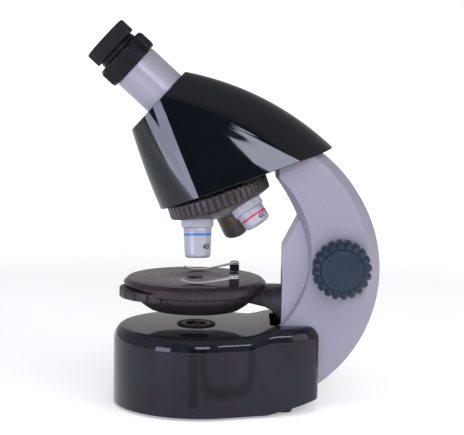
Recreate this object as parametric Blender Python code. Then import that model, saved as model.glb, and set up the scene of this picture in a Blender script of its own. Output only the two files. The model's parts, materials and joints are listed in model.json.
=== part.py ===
"""Children's compound microscope: lit drum base, C-shaped arm, hooded head, three-lens turret.

Dimensions are in millimetres and every mesh is scaled to metres as it is made. +Z is up, +X runs
from the eyepiece side to the arm, and -Y is the near side. The optical axis is the line X = 0, Y = 0.
"""

import math

import bmesh
import bpy
from mathutils import Matrix, Vector

MM = 0.001
MIDDLE_X = 22.1  # half way along the whole length, which becomes the object's own X = 0
GAP = 0.3  # clearance between neighbouring solids

# Base: a drum whose plan is two circles joined by tangents, cut flat at the back
BASE_X = 2.0
BASE_RADIUS = 49.6
BASE_REAR_X = 44.0
BASE_REAR_RADIUS = 36.0
BASE_BACK_X = 73.3
BASE_BOTTOM = 1.5
BASE_TOP = 47.0
BASE_WALL = 2.4
BASE_FILLET = 4.0
SHOULDER_RISE = 3.8
SHOULDER_START_X = 30.0
SHOULDER_END_X = 48.0
TAIL_SLOPE = 0.222  # the rim rises towards the back
WELL_FRONT_X = 44.5  # open well in front of the arm
WELL_HALF = 20.5
FOOT_RADIUS = 5.5
FOOT_SPOTS = ((-35.0, -16.0), (-35.0, 16.0), (53.0, -19.0), (53.0, 19.0))
BASE_SCREW_SPOTS = ((22.0, -34.0), (22.0, 34.0))
SWITCH_TRAVEL = 4.0

# Lamp and battery bay
LAMP_X = 1.2
BEZEL_RADIUS = 11.3
CELL_RADIUS = 7.1
CELL_LENGTH = 50.5
CELL_Z = 12.6
CELL_X = (-18.0, -2.0)

# Arm: two shells, outlines given as arcs (centre X, centre Z, radius)
ARM_OUTER = (24.5, 82.2, 83.4)
ARM_BEVEL = (20.5, 84.7, 80.2)
ARM_FACE_INNER = (7.1, 92.1, 60.8)
ARM_RIM_UPPER = (-31.0, 76.4, 97.8)
ARM_RIM_LOWER = (7.1, 92.1, 59.4)
ARM_HALF = 20.0
ARM_RIM_HALF = 13.0
ARM_BOTTOM = 13.0
ARM_TOP = 152.0
ARM_NECK_X = 46.0
ARM_NECK_Z = 137.0  # the inner edge is straight above this height
ARM_WALL = 2.4
ARM_SCREW_SPOTS = ((84.0, 45.0), (82.0, 125.0))

# Rack housing between the arm shells
RACK_HOUSING_FRONT_X = 51.0
RACK_HOUSING_BACK_X = 71.5
RACK_HOUSING_HALF = 15.0
RACK_HOUSING_BOTTOM = 24.0
RACK_HOUSING_SHOULDER = 94.0
RACK_HOUSING_TOP = 113.0
RACK_SLOT_HALF = 11.3

# Focus drive
FOCUS_X = 85.0
FOCUS_Z = 85.3
SHAFT_RADIUS = 3.0
GEAR_MODULE = 1.5
GEAR_TEETH = 10
GEAR_BACKLASH = 0.45
KNOB_RADIUS = 17.2
KNOB_LUGS = 20

# Stage
STAGE_TOP = 75.0
STAGE_RADIUS = 42.0
STAGE_HOLE = 4.5
CLIP_X = 23.2
CLIP_Y = 26.0
WHEEL_OFFSET = 19.0
WHEEL_RADIUS = 26.5
WHEEL_ANGLE = math.radians(202.5)
WHEEL_TOP = 70.3
WHEEL_BOTTOM = 64.8
BRACKET_TOP = 70.4
BRACKET_HALF = 10.5

# Turret: tilted so that the working objective hangs upright
TURRET_TILT = math.radians(19.6)
TURRET_CENTRE = (12.3, 0.0, 125.4)
TURRET_RADIUS = 30.6
TURRET_RIBS = 48
TURRET_TURN = math.radians(-24.4)  # how far the turret stands from its click stop
OBJECTIVE_RING = 16.9
OBJECTIVE_DROP = 9.65
OBJECTIVES = (("high", 23.2, 0.0), ("low", 15.0, -120.0), ("medium", 20.5, 120.0))

# Head: hood lofted from an egg-shaped face round the tube to a rounded rim round the turret
HOOD_FACE_LOW = (-38.4, 161.7)
HOOD_FACE_HIGH = (-7.6, 196.1)
HOOD_RIM_FRONT = (-20.8, 115.5)
HOOD_RIM_SLOPE = 0.3802
HOOD_RIM_RADIUS = 32.8
HOOD_WALL = 2.2
HOOD_ROWS = 7
TUBE_ELEVATION = math.radians(42.0)
TUBE_FACE_CENTRE = (-19.85, 0.0, 183.55)
TUBE_RADIUS = 14.35
TUBE_LENGTH = 22.7


# ---------------------------------------------------------------- mesh helpers

def material(name, colour, roughness, metallic=0.0, transmission=0.0):
    made = bpy.data.materials.get(name)
    if made:
        return made
    made = bpy.data.materials.new(name)
    made.use_nodes = True
    shader = made.node_tree.nodes["Principled BSDF"]
    shader.inputs["Base Color"].default_value = (*colour, 1.0)
    shader.inputs["Roughness"].default_value = roughness
    shader.inputs["Metallic"].default_value = metallic
    shader.inputs["Transmission Weight"].default_value = transmission
    made.diffuse_color = (*colour, 1.0)
    return made


def finish(name, bm, look, place=None, pivot=(0.0, 0.0, 0.0), smooth=True):
    """Make the object: the mesh is placed, measured from its pivot and scaled to metres."""
    if place is not None:
        bmesh.ops.transform(bm, matrix=place, verts=bm.verts)
    bmesh.ops.translate(bm, vec=-Vector(pivot), verts=bm.verts)
    bmesh.ops.scale(bm, vec=(MM, MM, MM), verts=bm.verts)
    bmesh.ops.recalc_face_normals(bm, faces=bm.faces)
    mesh = bpy.data.meshes.new(name)
    bm.to_mesh(mesh)
    bm.free()
    obj = bpy.data.objects.new(name, mesh)
    obj.location = (Vector(pivot) - Vector((MIDDLE_X, 0, 0))) * MM
    bpy.context.scene.collection.objects.link(obj)
    if look is not None:
        mesh.materials.append(look)
    if smooth:
        mesh.shade_smooth()
        mesh.set_sharp_from_angle(angle=math.radians(35))
    return obj


def helper(name, bm, place=None):
    """A shape used only by a Boolean."""
    obj = finish(name, bm, None, place, smooth=False)
    obj.hide_render = True
    obj.display_type = "WIRE"
    return obj


def combine(obj, operation, *others):
    for other in others:
        modifier = obj.modifiers.new(other.name, "BOOLEAN")
        modifier.operation = operation
        modifier.object = other


def cut(obj, *others):
    combine(obj, "DIFFERENCE", *others)


def join(obj, *others):
    combine(obj, "UNION", *others)


def loft(rings, cap="fan"):
    """Bridge closed rings of equal length and close both ends."""
    bm = bmesh.new()
    loops = [[bm.verts.new(point) for point in ring] for ring in rings]
    count = len(loops[0])
    for low, high in zip(loops, loops[1:]):
        for i in range(count):
            j = (i + 1) % count
            bm.faces.new((low[i], low[j], high[j], high[i]))
    for loop in (loops[0], loops[-1]):
        if cap == "ladder":
            for i in range(count // 2):
                corners = [loop[i], loop[i + 1], loop[(-i - 1) % count], loop[(-i) % count]]
                bm.faces.new(list(dict.fromkeys(corners)))
        else:
            bm.faces.new(loop)
    return bm


def prism(outline, low, high, axis="Y"):
    """Extrude an outline. Along Y it is (X, Z) points, along Z it is (X, Y) points."""
    if axis == "Y":
        return loft([[(x, y, z) for x, z in outline] for y in (low, high)])
    return loft([[(x, y, z) for x, y in outline] for z in (low, high)])


def box(low, high):
    outline = [(low[0], low[1]), (high[0], low[1]), (high[0], high[1]), (low[0], high[1])]
    return prism(outline, low[2], high[2], axis="Z")


def turn(profile, steps, hollow=False):
    """Spin (radius, height) points about Z. A hollow profile is a closed loop."""
    bm = bmesh.new()
    verts = [bm.verts.new((radius, 0.0, height)) for radius, height in profile]
    edges = [bm.edges.new(pair) for pair in zip(verts, verts[1:])]
    if hollow:
        edges.append(bm.edges.new((verts[-1], verts[0])))
    bmesh.ops.spin(
        bm, geom=verts + edges, cent=(0, 0, 0), axis=(0, 0, 1), angle=math.tau, steps=steps, use_merge=True
    )
    bmesh.ops.remove_doubles(bm, verts=bm.verts, dist=1e-4)
    return bm


def disc(radius, low, high, steps=32):
    return turn([(0, high), (radius, high), (radius, low), (0, low)], steps)


def ring(outer, inner, low, high, steps=32):
    return turn([(inner, high), (outer, high), (outer, low), (inner, low)], steps, hollow=True)


def rib_angles(count, duty=0.5, fine=False):
    """(angle, is it on a crest) round a ribbed rim. A fine rim has one point on each crest and root."""
    marks = ((0.0, True), (0.5, False))
    if not fine:
        marks = ((0.0, True), (duty, True), (duty + 0.08, False), (0.92, False))
    return [(math.tau * (i + share) / count, crest) for i in range(count) for share, crest in marks]


def toothed(count, crest, root, low, high, duty=0.5, fine=False):
    """A disc with a ribbed edge, extruded along Z."""
    outline = []
    for angle, on_crest in rib_angles(count, duty, fine):
        radius = crest if on_crest else root
        outline.append((radius * math.cos(angle), radius * math.sin(angle)))
    return prism(outline, low, high, axis="Z")


def frame_along(origin, direction, spin=0.0):
    """A placement whose Z axis runs along a direction."""
    z = Vector(direction).normalized()
    x = Vector((0, 1, 0)).cross(z).normalized()
    y = z.cross(x)
    rotation = Matrix((x, y, z)).transposed().to_4x4()
    return Matrix.Translation(Vector(origin)) @ rotation @ Matrix.Rotation(spin, 4, "Z")


def along_y(x, y, z):
    """A placement whose Z axis runs along +Y."""
    return Matrix.Translation((x, y, z)) @ Matrix.Rotation(-math.pi / 2, 4, "X")


def arc_x(arc, z):
    """X of the right-hand side of a circle at height Z."""
    x, centre, radius = arc
    return x + math.sqrt(radius**2 - (z - centre) ** 2)


def smoothstep(value, start, end):
    share = min(max((value - start) / (end - start), 0.0), 1.0)
    return share * share * (3 - 2 * share)


def spread(start, end, count):
    return [start + (end - start) * i / (count - 1) for i in range(count)]


# ---------------------------------------------------------------- materials

def look(name):
    looks = {
        "smoked": ((0.045, 0.045, 0.056), 0.18, 0.0, 0.0),
        "hood_black": ((0.012, 0.012, 0.016), 0.12, 0.0, 0.0),
        "dark": ((0.035, 0.032, 0.04), 0.45, 0.0, 0.0),
        "silver": ((0.52, 0.5, 0.56), 0.32, 0.35, 0.0),
        "silver_tube": ((0.48, 0.48, 0.54), 0.3, 0.4, 0.0),
        "steel": ((0.6, 0.6, 0.62), 0.28, 1.0, 0.0),
        "rubber": ((0.02, 0.02, 0.022), 0.8, 0.0, 0.0),
        "blue_knob": ((0.05, 0.07, 0.13), 0.5, 0.0, 0.0),
        "glass": ((0.9, 0.95, 1.0), 0.03, 0.0, 1.0),
        "lamp": ((0.95, 0.95, 0.9), 0.2, 0.0, 0.3),
        "board": ((0.02, 0.2, 0.06), 0.5, 0.0, 0.0),
        "cell": ((0.25, 0.26, 0.28), 0.35, 0.5, 0.0),
        "nylon": ((0.75, 0.74, 0.7), 0.5, 0.0, 0.0),
    }
    colour, roughness, metallic, transmission = looks[name]
    return material(name, colour, roughness, metallic, transmission)


# ---------------------------------------------------------------- base

def base_outline(inset):
    """Plan of the base, starting at the middle of the front."""
    front = BASE_RADIUS - inset
    rear = BASE_REAR_RADIUS - inset
    back_x = BASE_BACK_X - inset
    tangent = math.acos((BASE_RADIUS - BASE_REAR_RADIUS) / (BASE_REAR_X - BASE_X))
    back = math.acos((back_x - BASE_REAR_X) / rear)
    half = []
    for angle in spread(math.pi, tangent, 19):
        half.append((BASE_X + front * math.cos(angle), front * math.sin(angle)))
    start, end = Vector(half[-1]), Vector((BASE_REAR_X, 0)) + rear * Vector(
        (math.cos(tangent), math.sin(tangent))
    )
    half += [tuple(start.lerp(end, share)) for share in spread(0, 1, 8)[1:]]
    for angle in spread(tangent, back, 6)[1:]:
        half.append((BASE_REAR_X + rear * math.cos(angle), rear * math.sin(angle)))
    return half + [(x, -y) for x, y in reversed(half[1:])]


def tail_rise(x):
    return max(0.0, x - BASE_REAR_X) * TAIL_SLOPE


def top_rise(x):
    return SHOULDER_RISE * smoothstep(x, SHOULDER_START_X, SHOULDER_END_X)


def base_ring(inset, height, rise):
    return [(x, y, height + rise(x)) for x, y in base_outline(inset)]


def arm_section(z, grow=0.0):
    """Plan of the whole arm at height Z, as a closed loop."""
    out, bevel, face, rim = arm_edges(z)
    half = [(out + grow, ARM_RIM_HALF + grow / 2), (bevel + grow / 2, ARM_HALF + grow)]
    half += [(face - grow / 2, ARM_HALF + grow), (rim - grow, ARM_RIM_HALF + grow / 2)]
    return [(x, y, z) for x, y in half] + [(x, -y, z) for x, y in reversed(half)]


def arm_edges(z):
    """X of the outer rim, the outer bevel, the face's inner edge and the inner rim at height Z."""
    held = min(max(z, BASE_TOP), ARM_NECK_Z)
    face = arc_x(ARM_FACE_INNER, held)
    rim = min(arc_x(ARM_RIM_UPPER, held), arc_x(ARM_RIM_LOWER, held))
    if z > ARM_RIM_UPPER[1]:
        rim = max(rim, ARM_NECK_X)
        face = max(face, ARM_NECK_X + 1.4)
    return arc_x(ARM_OUTER, z), arc_x(ARM_BEVEL, z), face, rim


def base_housing():
    inner = BASE_WALL
    rings = [base_ring(inner, BASE_TOP - inner, top_rise), base_ring(inner, BASE_BOTTOM, tail_rise)]
    rings.append(base_ring(0.0, BASE_BOTTOM, tail_rise))
    for angle in spread(0, math.pi / 2, 5):
        inset = BASE_FILLET * (1 - math.cos(angle))
        rings.append(base_ring(inset, BASE_TOP - BASE_FILLET * (1 - math.sin(angle)), top_rise))
    housing = finish("base_housing", loft(rings, cap="ladder"), look("smoked"))
    block = helper("base_well_walls", box((42.3, -22.8, 10.9), (72.0, 22.8, BASE_TOP - 0.5)))
    posts = []
    for i, (x, y) in enumerate(BASE_SCREW_SPOTS):
        post = disc(4.0, 4.6, BASE_TOP - 1.0, 16)
        posts.append(helper(f"base_post_{i}", post, Matrix.Translation((x, y, 0))))
    join(housing, block, *posts)
    slot = helper("arm_slot", loft([arm_section(z, 0.4) for z in spread(ARM_BOTTOM - 0.4, 62.0, 12)]))
    well = helper("front_well", box((WELL_FRONT_X, -WELL_HALF, 16.0), (62.0, WELL_HALF, 62.0)))
    lamp_at = Matrix.Translation((LAMP_X, 0, 0))
    lamp_hole = helper("lamp_hole", disc(9.5, 40.0, 60.0), lamp_at)
    seat = helper("bezel_seat", disc(BEZEL_RADIUS + GAP, BASE_TOP - 0.8, 60.0), lamp_at)
    recess = helper("switch_recess", box((-8.0, 48.3, 19.5), (8.0 + SWITCH_TRAVEL, 60.0, 30.5)))
    window = helper("switch_window", box((-2.9, 40.0, 22.0), (2.9 + SWITCH_TRAVEL, 60.0, 28.0)))
    cut(housing, slot, well, lamp_hole, seat, recess, window)
    for i, (x, y) in enumerate(BASE_SCREW_SPOTS):
        cut(housing, helper(f"post_hole_{i}", disc(1.8, 0.0, 18.0, 12), Matrix.Translation((x, y, 0))))


def door_outline(grow=0.0):
    """Plan of the battery door: a rectangle with a screw tab on the arm side."""
    half = [(-28.2 - grow, 28.1 + grow), (7.2 + grow, 28.1 + grow), (7.2 + grow, 5.7 + grow)]
    half.append((15.7 + grow, 5.7 + grow))
    return half + [(x, -y) for x, y in reversed(half)]


def base_bottom_plate():
    inset = BASE_WALL + 0.4
    rings = [base_ring(inset, 2.0, tail_rise), base_ring(inset, 4.2, tail_rise)]
    plate = finish("base_bottom_plate", loft(rings, cap="ladder"), look("dark"))
    recess = helper("door_recess", prism(door_outline(GAP), 0.0, 3.3, axis="Z"))
    opening = helper("door_opening", box((-26.5, -27.0, 1.0), (5.5, 27.0, 6.0)))
    screw_hole = helper("door_screw_hole", disc(1.8, -1.0, 7.0, 12), Matrix.Translation((11.5, 0, 0)))
    cut(plate, recess, opening, screw_hole)
    for i, (x, y) in enumerate(BASE_SCREW_SPOTS):
        cut(plate, helper(f"plate_hole_{i}", disc(1.8, 0.0, 8.0, 12), Matrix.Translation((x, y, 0))))


def battery_door():
    door = finish("battery_door", prism(door_outline(), 2.0, 3.0, axis="Z"), look("dark"), smooth=False)
    cut(door, helper("door_hole", disc(1.8, 0.0, 6.0, 12), Matrix.Translation((11.5, 0, 0))))


def screw(name, head_radius, head_height, shank_radius, length, place, metal="steel"):
    """A pan-head screw: the head lies above local Z = 0 and has a cross recess, the shank below it."""
    profile = [(0, head_height), (head_radius * 0.75, head_height), (head_radius, head_height * 0.45)]
    profile += [(head_radius, 0), (shank_radius, 0), (shank_radius, -length + 1), (0, -length)]
    obj = finish(name, turn(profile, 14), look(metal), place)
    slots = []
    for i, (wide, deep) in enumerate(((1.3, 0.35), (0.35, 1.3))):
        bar = box((-head_radius * 0.45 * wide, -head_radius * 0.45 * deep, head_height * 0.5),
                  (head_radius * 0.45 * wide, head_radius * 0.45 * deep, head_height + 1))
        slots.append(helper(f"{name}_slot_{i}", bar, place))
    cut(obj, *slots)
    return obj


def pointing_down(x, y, z):
    return Matrix.Translation((x, y, z)) @ Matrix.Rotation(math.pi, 4, "X")


def base_fixings():
    screw("door_screw", 2.7, 0.9, 1.4, 7.0, pointing_down(11.5, 0, 1.7))
    for i, (x, y) in enumerate(BASE_SCREW_SPOTS):
        screw(f"base_screw_{i + 1}", 2.7, 0.9, 1.4, 12.0, pointing_down(x, y, 1.7))
    for name, (x, y) in zip(("front_near", "front_far", "rear_near", "rear_far"), FOOT_SPOTS):
        bm = turn([(0, 1.7), (FOOT_RADIUS, 1.7), (FOOT_RADIUS, 0.6), (FOOT_RADIUS - 0.6, 0), (0, 0)], 24)
        bmesh.ops.translate(bm, vec=(x, y, 0), verts=bm.verts)
        for vert in bm.verts:
            if vert.co.z > 1:
                vert.co.z += tail_rise(vert.co.x)
        finish(f"foot_{name}", bm, look("rubber"))


def coil(name, radius, wire, turns, length, place):
    """A compression spring whose ends lie at local Z = 0 and Z = length."""
    steps = turns * 10
    rings = []
    for i in range(steps + 1):
        angle = math.tau * i / 10
        height = wire + (length - 2 * wire) * i / steps
        centre = Vector((radius * math.cos(angle), radius * math.sin(angle), height))
        out = Vector((math.cos(angle), math.sin(angle), 0))
        ring_points = []
        for k in range(5):
            side = math.tau * k / 5
            ring_points.append(centre + wire * (math.cos(side) * out + math.sin(side) * Vector((0, 0, 1))))
        rings.append(ring_points)
    return finish(name, loft(rings), look("steel"), place)


def battery_bay():
    tray = finish("battery_tray", box((-28.5, -29.1, 4.5), (7.5, 29.1, 22.0)), look("dark"), smooth=False)
    cut(tray, helper("tray_cavity", box((-26.5, -27.6, 3.0), (5.5, 27.6, 20.4))))
    half = CELL_LENGTH / 2
    profile = [(0, half), (2.7, half), (2.7, half - 1.2), (6.6, half - 1.2), (CELL_RADIUS, half - 1.8)]
    profile += [(CELL_RADIUS, -half + 0.6), (6.5, -half), (0, -half)]
    for i, (x, way) in enumerate(zip(CELL_X, (1, -1))):
        flip = Matrix.Rotation(0 if way > 0 else math.pi, 4, "X")
        finish(f"battery_cell_{i + 1}", turn(profile, 22), look("cell"), along_y(x, way * 2.1, CELL_Z) @ flip)
        at = along_y(x, way * -27.4, CELL_Z) @ flip
        coil(f"battery_spring_{i + 1}", 3.6, 0.45, 3, 3.9, at)


def lamp():
    at = Matrix.Translation((LAMP_X, 0, 0))
    profile = [(7.0, 47.2), (7.5, 47.7), (BEZEL_RADIUS - 0.4, 47.7), (BEZEL_RADIUS, 47.3)]
    profile += [(BEZEL_RADIUS, 46.5), (9.2, 46.5), (9.2, 41.0), (6.0, 41.0), (6.0, 43.5), (7.0, 43.5)]
    finish("illuminator_bezel", turn(profile, 30, hollow=True), look("dark"), at)
    lens = [(0, 48.1), (2.5, 47.9), (4.8, 47.2), (6.7, 46.0), (6.7, 43.9), (0, 43.9)]
    finish("collector_lens", turn(lens, 24), look("glass"), at)
    finish("lamp_board", box((-9.0, -11.0, 33.0), (11.5, 11.0, 34.4)), look("board"), smooth=False)
    led = [(0, 40.3), (1.3, 39.9), (2.2, 39.0), (2.5, 37.8), (2.5, 35.6), (2.9, 35.6), (2.9, 34.7), (0, 34.7)]
    finish("lamp_led", turn(led, 20), look("lamp"), at)


def power_switch():
    slider = finish("power_switch", box((-7.0, 43.8, 19.9), (7.0, 45.2, 30.1)), look("rubber"), smooth=False)
    stem = helper("switch_stem", box((-2.5, 44.5, 22.4), (2.5, 49.4, 27.6)))
    join(slider, stem)


# ---------------------------------------------------------------- arm

def arm_shell(name, side):
    """One half of the hollow arm. Side is -1 for the near half and 1 for the far half."""
    rings = []
    for z in [ARM_BOTTOM, 20, 27, 34, 41] + spread(47, 140, 20) + [146, ARM_TOP]:
        out, bevel, face, rim = arm_edges(z)
        seam, skin = GAP / 2, ARM_HALF - ARM_WALL
        outer = [(out, seam), (out, ARM_RIM_HALF), (bevel, ARM_HALF)]
        outer += [(face, ARM_HALF), (rim, ARM_RIM_HALF), (rim, seam)]
        inner = [(rim + ARM_WALL, seam), (rim + ARM_WALL, ARM_RIM_HALF - 1.2), (face + 1.8, skin)]
        inner += [(bevel - 1.2, skin), (out - ARM_WALL, ARM_RIM_HALF - 1.2), (out - ARM_WALL, seam)]
        rings.append([(x, side * y, z) for x, y in outer + inner])
    shell = finish(name, loft(rings), look("silver"))
    low, high = sorted((side * 0.4, side * (ARM_HALF - 0.5)))
    bosses = []
    for i, (x, z) in enumerate(ARM_SCREW_SPOTS):
        bosses.append(helper(f"{name}_boss_{i}", disc(4.0, low, high, 16), along_y(x, 0, z)))
    join(shell, *bosses)
    half = RACK_HOUSING_HALF + 0.4
    window = helper(f"{name}_window", box((20, -half, 20), (75, half, 113.2)))
    bore = helper(f"{name}_bore", disc(5.5, -40, 40, 24), along_y(FOCUS_X, 0, FOCUS_Z))
    reach = (-12.5, 40) if side < 0 else (-1, 40)
    holes = []
    for i, (x, z) in enumerate(ARM_SCREW_SPOTS):
        holes.append(helper(f"{name}_hole_{i}", disc(1.8, reach[0], reach[1], 12), along_y(x, 0, z)))
    cut(shell, window, bore, *holes)


def arm_fixings():
    for i, (x, z) in enumerate(ARM_SCREW_SPOTS):
        screw(f"arm_screw_{i + 1}", 3.2, 1.5, 1.4, 31.0, along_y(x, ARM_HALF + GAP, z))
    for name, side in (("near", -1), ("far", 1)):
        low, high = sorted((side * 16.6, side * (ARM_HALF + GAP)))
        finish(f"shaft_bush_{name}", ring(5.2, SHAFT_RADIUS + GAP, low, high, 28), look("nylon"),
               along_y(FOCUS_X, 0, FOCUS_Z))


def rack_housing():
    half = RACK_HOUSING_HALF
    outline = [(RACK_HOUSING_FRONT_X, RACK_HOUSING_BOTTOM), (RACK_HOUSING_BACK_X, RACK_HOUSING_BOTTOM)]
    outline += [(RACK_HOUSING_BACK_X, 106.0), (67.0, RACK_HOUSING_TOP - 0.2), (60.0, RACK_HOUSING_TOP - 0.2)]
    outline += [(RACK_HOUSING_FRONT_X, RACK_HOUSING_SHOULDER)]
    housing = finish("rack_housing", prism(outline, -half, half), look("silver"), smooth=False)
    cavity = helper("rack_cavity", prism([(53.2, 27.0), (80, 27.0), (80, 104.0), (60.0, 104.0), (53.2, 92.0)],
                                         -half + 2.4, half - 2.4))
    slot = helper("bracket_slot", box((45.0, -RACK_SLOT_HALF, 44.0), (60.0, RACK_SLOT_HALF, 81.0)))
    cut(housing, cavity, slot)
    bevel = housing.modifiers.new("edges", "BEVEL")
    bevel.width = 0.6 * MM
    bevel.segments = 1
    bevel.limit_method = "ANGLE"


# ---------------------------------------------------------------- focus drive

def involute_tooth():
    """Half-tooth flank points (radius, angle from the tooth's middle), root to tip."""
    pitch = GEAR_MODULE * GEAR_TEETH / 2
    base = pitch * math.cos(math.radians(20))
    half = (math.pi / 2 - GEAR_BACKLASH / GEAR_MODULE) / GEAR_TEETH

    def spread_at(radius):
        pressure = math.acos(min(1.0, base / radius))
        return math.tan(pressure) - pressure

    flank = [(5.4, half + spread_at(pitch) + 0.06), (base, half + spread_at(pitch))]
    for radius in (7.5, 8.0, 8.5, 8.85):
        flank.append((radius, half + spread_at(pitch) - spread_at(radius)))
    return flank


def pinion():
    outline = []
    flank = involute_tooth()
    for tooth in range(GEAR_TEETH):
        middle = math.pi + math.tau * tooth / GEAR_TEETH
        for radius, angle in flank:
            outline.append((middle - angle, radius))
        for radius, angle in reversed(flank):
            outline.append((middle + angle, radius))
    axis = (FOCUS_X, 0, FOCUS_Z)
    points = [(axis[0] + r * math.cos(angle), axis[2] + r * math.sin(angle)) for angle, r in outline]
    gear = finish("pinion", prism(points, -3.8, 3.8), look("nylon"), pivot=axis, smooth=False)
    cut(gear, helper("pinion_bore", disc(SHAFT_RADIUS + GAP, -9, 9, 24), along_y(FOCUS_X, 0, FOCUS_Z)))


def focus_rack():
    pitch = math.pi * GEAR_MODULE
    line = FOCUS_X - GEAR_MODULE * GEAR_TEETH / 2
    slope = math.tan(math.radians(20))
    half = pitch / 4 - GEAR_BACKLASH / 2
    outline = [(72.3, 53.0)]
    for k in range(-7, 3):
        middle = FOCUS_Z + (k + 0.5) * pitch
        outline += [(line - 1.9, middle - half - 1.9 * slope), (line + 0.9, middle - half + 0.9 * slope)]
        outline += [(line + 0.9, middle + half - 0.9 * slope), (line - 1.9, middle + half + 1.9 * slope)]
    outline += [(line - 1.9, 98.0), (72.3, 98.0)]
    outline.insert(1, (line - 1.9, 53.0))
    finish("focus_rack", prism(outline, -4.0, 4.0), look("nylon"), smooth=False)


def focus_shaft():
    axis = (FOCUS_X, 0, FOCUS_Z)
    finish("focus_shaft", disc(SHAFT_RADIUS, -31.0, 31.0, 24), look("steel"), along_y(*axis), pivot=axis)


def focus_knob(name, side):
    """Lugged grip with a domed cap, blind bore towards the arm."""
    place = along_y(FOCUS_X, side * 21.0, FOCUS_Z)
    if side < 0:
        place = place @ Matrix.Rotation(math.pi, 4, "X")

    def outline(radius, height, depth=0.0):
        points = []
        for angle, crest in rib_angles(KNOB_LUGS, 0.36):
            at = radius if crest else radius - depth
            points.append((at * math.cos(angle), at * math.sin(angle), height))
        return points

    rings = [outline(KNOB_RADIUS - 0.6, 0.0, 1.2), outline(KNOB_RADIUS, 9.8, 1.2)]
    rings += [outline(KNOB_RADIUS - 1.4, 11.0, 0.4), outline(14.4, 10.6)]
    rings += [outline(13.4, 11.6), outline(8.0, 13.1)]
    knob = finish(name, loft(rings), look("blue_knob"), place, pivot=(FOCUS_X, 0, FOCUS_Z))
    bore = helper(f"{name}_bore", disc(SHAFT_RADIUS + GAP, -2.0, 10.4, 20), place)
    hollow = helper(f"{name}_hollow", ring(12.8, 5.6, -2.0, 7.0, 24), place)
    cut(knob, bore, hollow)


# ---------------------------------------------------------------- stage

def wheel_centre():
    return Vector((WHEEL_OFFSET * math.cos(WHEEL_ANGLE), WHEEL_OFFSET * math.sin(WHEEL_ANGLE), 0))


def wheel_pocket(name, low, high):
    return helper(name, disc(WHEEL_RADIUS + 0.4, low, high, 48), Matrix.Translation(wheel_centre()))


def stage_plate():
    top, radius = STAGE_TOP, STAGE_RADIUS
    profile = [(STAGE_HOLE, top), (radius - 0.6, top), (radius, top - 0.6), (radius, top - 2.6)]
    profile += [(40.0, 67.5), (37.6, 67.5), (37.6, top - 3.1), (STAGE_HOLE, top - 3.1)]
    plate = finish("stage_plate", turn(profile, 56, hollow=True), look("dark"))
    pin = helper("wheel_pin", disc(2.2, 64.9, top - 2.0, 20), Matrix.Translation(wheel_centre()))
    join(plate, pin)
    pocket = wheel_pocket("plate_wheel_slot", 60.0, WHEEL_TOP + 0.5)
    keep = helper("plate_slot_zone", ring(60.0, 37.0, 60.0, WHEEL_TOP + 0.5, 32))
    keep_zone = keep.modifiers.new("zone", "BOOLEAN")
    keep_zone.operation = "INTERSECT"
    keep_zone.object = pocket
    half = BRACKET_HALF + GAP
    notch = helper("plate_bracket_notch", box((30, -half, 60), (60, half, BRACKET_TOP + GAP)))
    cut(plate, keep, notch)
    for i, side in enumerate((-1, 1)):
        spot = Matrix.Translation((CLIP_X, side * CLIP_Y, 0))
        cut(plate, helper(f"plate_clip_hole_{i}", disc(2.0, 60, 90, 16), spot))


def stage_dish():
    profile = [(9.0, 59.0), (25.5, 59.0), (34.0, 64.9), (35.2, 67.2), (35.2, 71.6), (37.3, 71.6)]
    profile += [(37.3, 67.4), (36.0, 64.0), (27.0, 57.0), (9.0, 57.0)]
    dish = finish("stage_dish", turn(profile, 56, hollow=True), look("dark"))
    post = helper("wheel_post", disc(4.0, 58.0, WHEEL_BOTTOM - GAP, 20), Matrix.Translation(wheel_centre()))
    join(dish, post)
    pocket = wheel_pocket("dish_wheel_slot", WHEEL_BOTTOM - GAP, 80.0)
    notch = helper("dish_bracket_notch", box((28, -BRACKET_HALF - GAP, 60.4), (60, BRACKET_HALF + GAP, 80)))
    cut(dish, pocket, notch)


def stage_bracket():
    under = [(29.0, 62.4), (34.0, 61.5), (41.6, 59.8), (45.7, 57.5), (48.1, 54.6), (51.7, 52.9), (58.0, 52.0)]
    outline = under + [(58.0, BRACKET_TOP - 1.0), (52.0, BRACKET_TOP), (29.0, BRACKET_TOP)]
    bracket = finish("stage_bracket", prism(outline, -BRACKET_HALF, BRACKET_HALF), look("dark"), smooth=False)
    guide = helper("carriage_guide", box((53.8, -12.2, 50.0), (60.5, 12.2, 79.0)))
    spine = helper("carriage_spine", box((57.0, -6.0, 50.0), (72.0, 6.0, 79.0)))
    join(bracket, guide, spine)


def filter_wheel():
    centre = wheel_centre()
    at = Matrix.Translation(centre)
    rim = toothed(54, WHEEL_RADIUS, WHEEL_RADIUS - 0.9, WHEEL_BOTTOM, WHEEL_TOP, fine=True)
    wheel = finish("filter_wheel", rim, look("dark"), at, pivot=(*centre.xy, WHEEL_BOTTOM), smooth=False)
    cut(wheel, helper("wheel_bore", disc(2.5, 60, 75, 20), at))
    for i in range(5):
        angle = WHEEL_ANGLE + math.pi + math.tau * i / 5
        offset = Vector((math.cos(angle), math.sin(angle), 0)) * WHEEL_OFFSET
        stop = helper(f"wheel_stop_{i}", disc(5.5 - i, 60, 75, 20), Matrix.Translation(centre + offset))
        cut(wheel, stop)


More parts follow.
